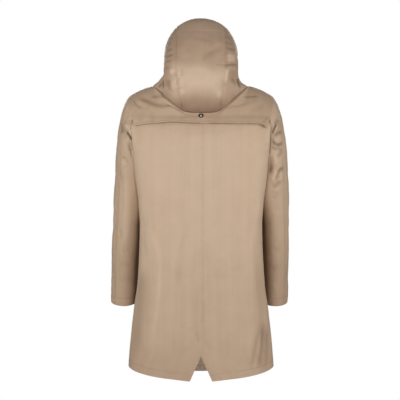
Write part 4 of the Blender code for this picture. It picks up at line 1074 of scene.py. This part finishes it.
# stitching: rows of small threads that follow the sewn edges
stitch = {"long": 0.0030, "gap": 0.0011, "thick": 0.00055, "sunk": 0.00005}
stitchRows = (
    ("back_left", "low"), ("back_right", "low"), ("front_left", "low"), ("front_right", "low"),
    ("back_right", "left"), ("back_yoke", "low"), ("front_placket", "left"), ("front_placket", "right"),
    ("front_placket", "low"), ("hood_back", "left"), ("hood_back", "right"), ("hood_back", "top"),
    ("hood_crown", "left"), ("hood_crown", "right"), ("hood_crown", "top"), ("hood_side_left", "top"),
    ("hood_side_right", "top"), ("sleeve_left_front", "right"), ("sleeve_right_front", "right"),
    ("sleeve_left_back", "low"), ("sleeve_left_front", "low"), ("sleeve_right_back", "low"),
    ("sleeve_right_front", "low"),
)


def stitchLine(node, edge):  # the points of a panel where the stitches of one of its edges lie
    panel = sewn[node]
    distance = edgeKinds[panel["edges"][edge]]["stitch"]
    grid, normals, away = panel["grid"], panel["normals"], panel["away"][edge]
    if edge in ("low", "top"):
        grid, normals, away = grid.swapaxes(0, 1), normals.swapaxes(0, 1), away.T
    if edge in ("right", "top"):
        grid, normals, away = grid[:, ::-1], normals[:, ::-1], away[:, ::-1]
    found = []
    for spots, ways, far in zip(grid, normals, away):
        if far[-1] > distance:
            found.append([np.interp(distance, far, part[:, k]) for part in (spots, ways) for k in range(3)])
    return np.array(found)


def addStitches(bm, line):
    far = np.concatenate([[0], np.cumsum(np.linalg.norm(np.diff(line[:, :3], axis=0), axis=1))])
    pitch = stitch["long"] + stitch["gap"]
    for start in np.arange(pitch, far[-1] - pitch, pitch):
        ends = (start, start + stitch["long"])
        here, there = (np.array([np.interp(at, far, line[:, k]) for k in range(6)]) for at in ends)
        way = Vector(there[:3] - here[:3]).normalized()
        up = Vector(here[3:]).normalized()
        cross = up.cross(way).normalized()
        middle = Vector((here[:3] + there[:3]) / 2) + up * (stitch["thick"] / 2 - stitch["sunk"])
        turn = Matrix((way, cross, way.cross(cross))).transposed().to_4x4()
        sizes = Matrix.Diagonal((stitch["long"] / 2, stitch["thick"] / 2, stitch["thick"] / 2, 1))
        bmesh.ops.create_icosphere(bm, subdivisions=1, radius=1.0, matrix=Matrix.Translation(middle) @ turn @ sizes)


def smallPiece(name, bm, materials):
    bmesh.ops.recalc_face_normals(bm, faces=bm.faces)
    for face in bm.faces:
        face.smooth = True
    mesh = bpy.data.meshes.new(name)
    bm.to_mesh(mesh)
    bm.free()
    for material in materials:
        mesh.materials.append(material)
    piece = bpy.data.objects.new(name, mesh)
    bpy.context.scene.collection.objects.link(piece)
    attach(piece, "root")
    return piece


groups = {"body": ("back", "front"), "hood": ("hood",), "sleeve": ("sleeve",)}
for group, starts in groups.items():
    bm = bmesh.new()
    for node, edge in stitchRows:
        if node.split("_")[0] in starts:
            addStitches(bm, stitchLine(node, edge))
    smallPiece(group + "_stitching", bm, [finishes["thread"]])
print("stitching done")

# press stud under the hood: a dark ring round a pale cap; the cap's paleness is a painted highlight
stud = {
    "height": -0.1015, "lift": 0.0002, "steps": 40, "capRadius": 0.00401,
    # radius and height of the turned outlines
    "ring": ((0.0040, 0.0006), (0.0042, 0.0020), (0.0053, 0.0030), (0.0067, 0.0028), (0.0078, 0.0016), (0.0082, 0.0)),
    "cap": ((0.0, 0.0021), (0.0018, 0.0020), (0.0033, 0.0015), (0.0040, 0.0007)),
}
panel = sewn["back_yoke"]
middleColumn = panel["grid"].shape[1] // 2
rowAt = int(np.argmin(np.abs(panel["grid"][:, middleColumn, 2] - stud["height"])))
seat, up = (Vector(panel[part][rowAt, middleColumn]) for part in ("grid", "normals"))
bm = bmesh.new()
for index, outline in enumerate((stud["ring"], stud["cap"])):
    verts = [bm.verts.new((radius, 0, height)) for radius, height in outline]
    edges = [bm.edges.new(pair) for pair in zip(verts, verts[1:])]
    turned = {"cent": (0, 0, 0), "axis": (0, 0, 1), "angle": 2 * math.pi, "steps": stud["steps"], "use_merge": True}
    bmesh.ops.spin(bm, geom=verts + edges, **turned)
    for face in bm.faces:
        if index and max(math.hypot(v.co.x, v.co.y) for v in face.verts) < stud["capRadius"]:
            face.material_index = 1
bmesh.ops.remove_doubles(bm, verts=bm.verts, dist=1e-6)
bmesh.ops.transform(bm, matrix=up.to_track_quat("Z", "Y").to_matrix().to_4x4(), verts=bm.verts)
bmesh.ops.translate(bm, verts=bm.verts, vec=seat + up * stud["lift"])
studPiece = smallPiece("press_stud_cap", bm, [finishes["studRing"], finishes["studCentre"]])
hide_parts("press_stud")
print("press stud done")

# floor, light and camera
stage = {
    "floor": -1.48, "floorRadius": 2.4, "floorColour": (0.86, 0.86, 0.86), "floorFade": (1.6, 2.8), "ambient": 0.20,
    "lights": (  # place, aimed at, size, watts
        ((0.0, 2.8, 0.1), (0.0, 0.1, -0.25), 0.7, 30.0),
        ((-1.95, 1.15, 0.05), (0.0, 0.05, -0.25), 0.8, 20.8),
        ((1.95, 1.15, 0.05), (0.0, 0.05, -0.25), 0.8, 20.8),
        ((0.0, -3.2, 0.4), (0.0, 0.0, -0.35), 2.2, 45.0),
    ),
    "camera": (0.00325, 5.0, -0.369), "viewWidth": 1.3, "sensor": 36.0,
}
bm = bmesh.new()
bmesh.ops.create_circle(bm, cap_ends=True, segments=96, radius=stage["floorRadius"])
bmesh.ops.translate(bm, verts=bm.verts, vec=(0, 0, stage["floor"]))
floorMesh = bpy.data.meshes.new("floor")
bm.to_mesh(floorMesh)
bm.free()
floorFinish = Finish("paleFloor", stage["floorColour"], {"Roughness": 0.8, "Specular IOR Level": 0.2})
floorPlace = floorFinish.node("ShaderNodeTexCoord", out=3)
fromMiddle = floorFinish.node("ShaderNodeVectorMath", {"operation": "LENGTH"}, {0: floorPlace}, out=1)
fadeFrom, fadeTo = stage["floorFade"]
fade = {"Value": fromMiddle, "From Min": fadeFrom, "From Max": fadeTo, "To Min": 1.0, "To Max": 0.0}
floorFinish.feed("Alpha", floorFinish.node("ShaderNodeMapRange", {"interpolation_type": "SMOOTHSTEP"}, fade))
floorMesh.materials.append(floorFinish.material)
floor = bpy.data.objects.new("floor", floorMesh)
bpy.context.scene.collection.objects.link(floor)

for number, (place, target, size, watts) in enumerate(stage["lights"]):
    lamp = bpy.data.lights.new(f"softbox{number}", "AREA")
    lamp.shape, lamp.size, lamp.energy = "DISK", size, watts
    softbox = bpy.data.objects.new(lamp.name, lamp)
    softbox.location = place
    softbox.rotation_euler = (Vector(target) - Vector(place)).to_track_quat("-Z", "Y").to_euler()
    softbox.visible_camera = False
    bpy.context.scene.collection.objects.link(softbox)

world = bpy.data.worlds.new("studio")
world.use_nodes = True
bpy.context.scene.world = world
nodes, links = world.node_tree.nodes, world.node_tree.links
fill = nodes["Background"]
fill.inputs["Color"].default_value, fill.inputs["Strength"].default_value = (1, 1, 1, 1), stage["ambient"]
kinds = ("ShaderNodeBackground", "ShaderNodeMixShader", "ShaderNodeLightPath")
backdrop, chooser, path = (nodes.new(kind) for kind in kinds)
backdrop.inputs["Color"].default_value = (1, 1, 1, 1)
links.new(path.outputs["Is Camera Ray"], chooser.inputs[0])
links.new(fill.outputs[0], chooser.inputs[1])
links.new(backdrop.outputs[0], chooser.inputs[2])
links.new(chooser.outputs[0], nodes["World Output"].inputs["Surface"])
bpy.context.scene.view_settings.view_transform = "Standard"

camera = bpy.data.objects.new("camera", bpy.data.cameras.new("camera"))
camera.location = stage["camera"]
camera.rotation_euler = Vector((0, -1, 0)).to_track_quat("-Z", "Y").to_euler()
camera.data.sensor_width = stage["sensor"]
camera.data.lens = stage["sensor"] * stage["camera"][1] / stage["viewWidth"]
bpy.context.scene.collection.objects.link(camera)
bpy.context.scene.camera = camera
print("stage set")
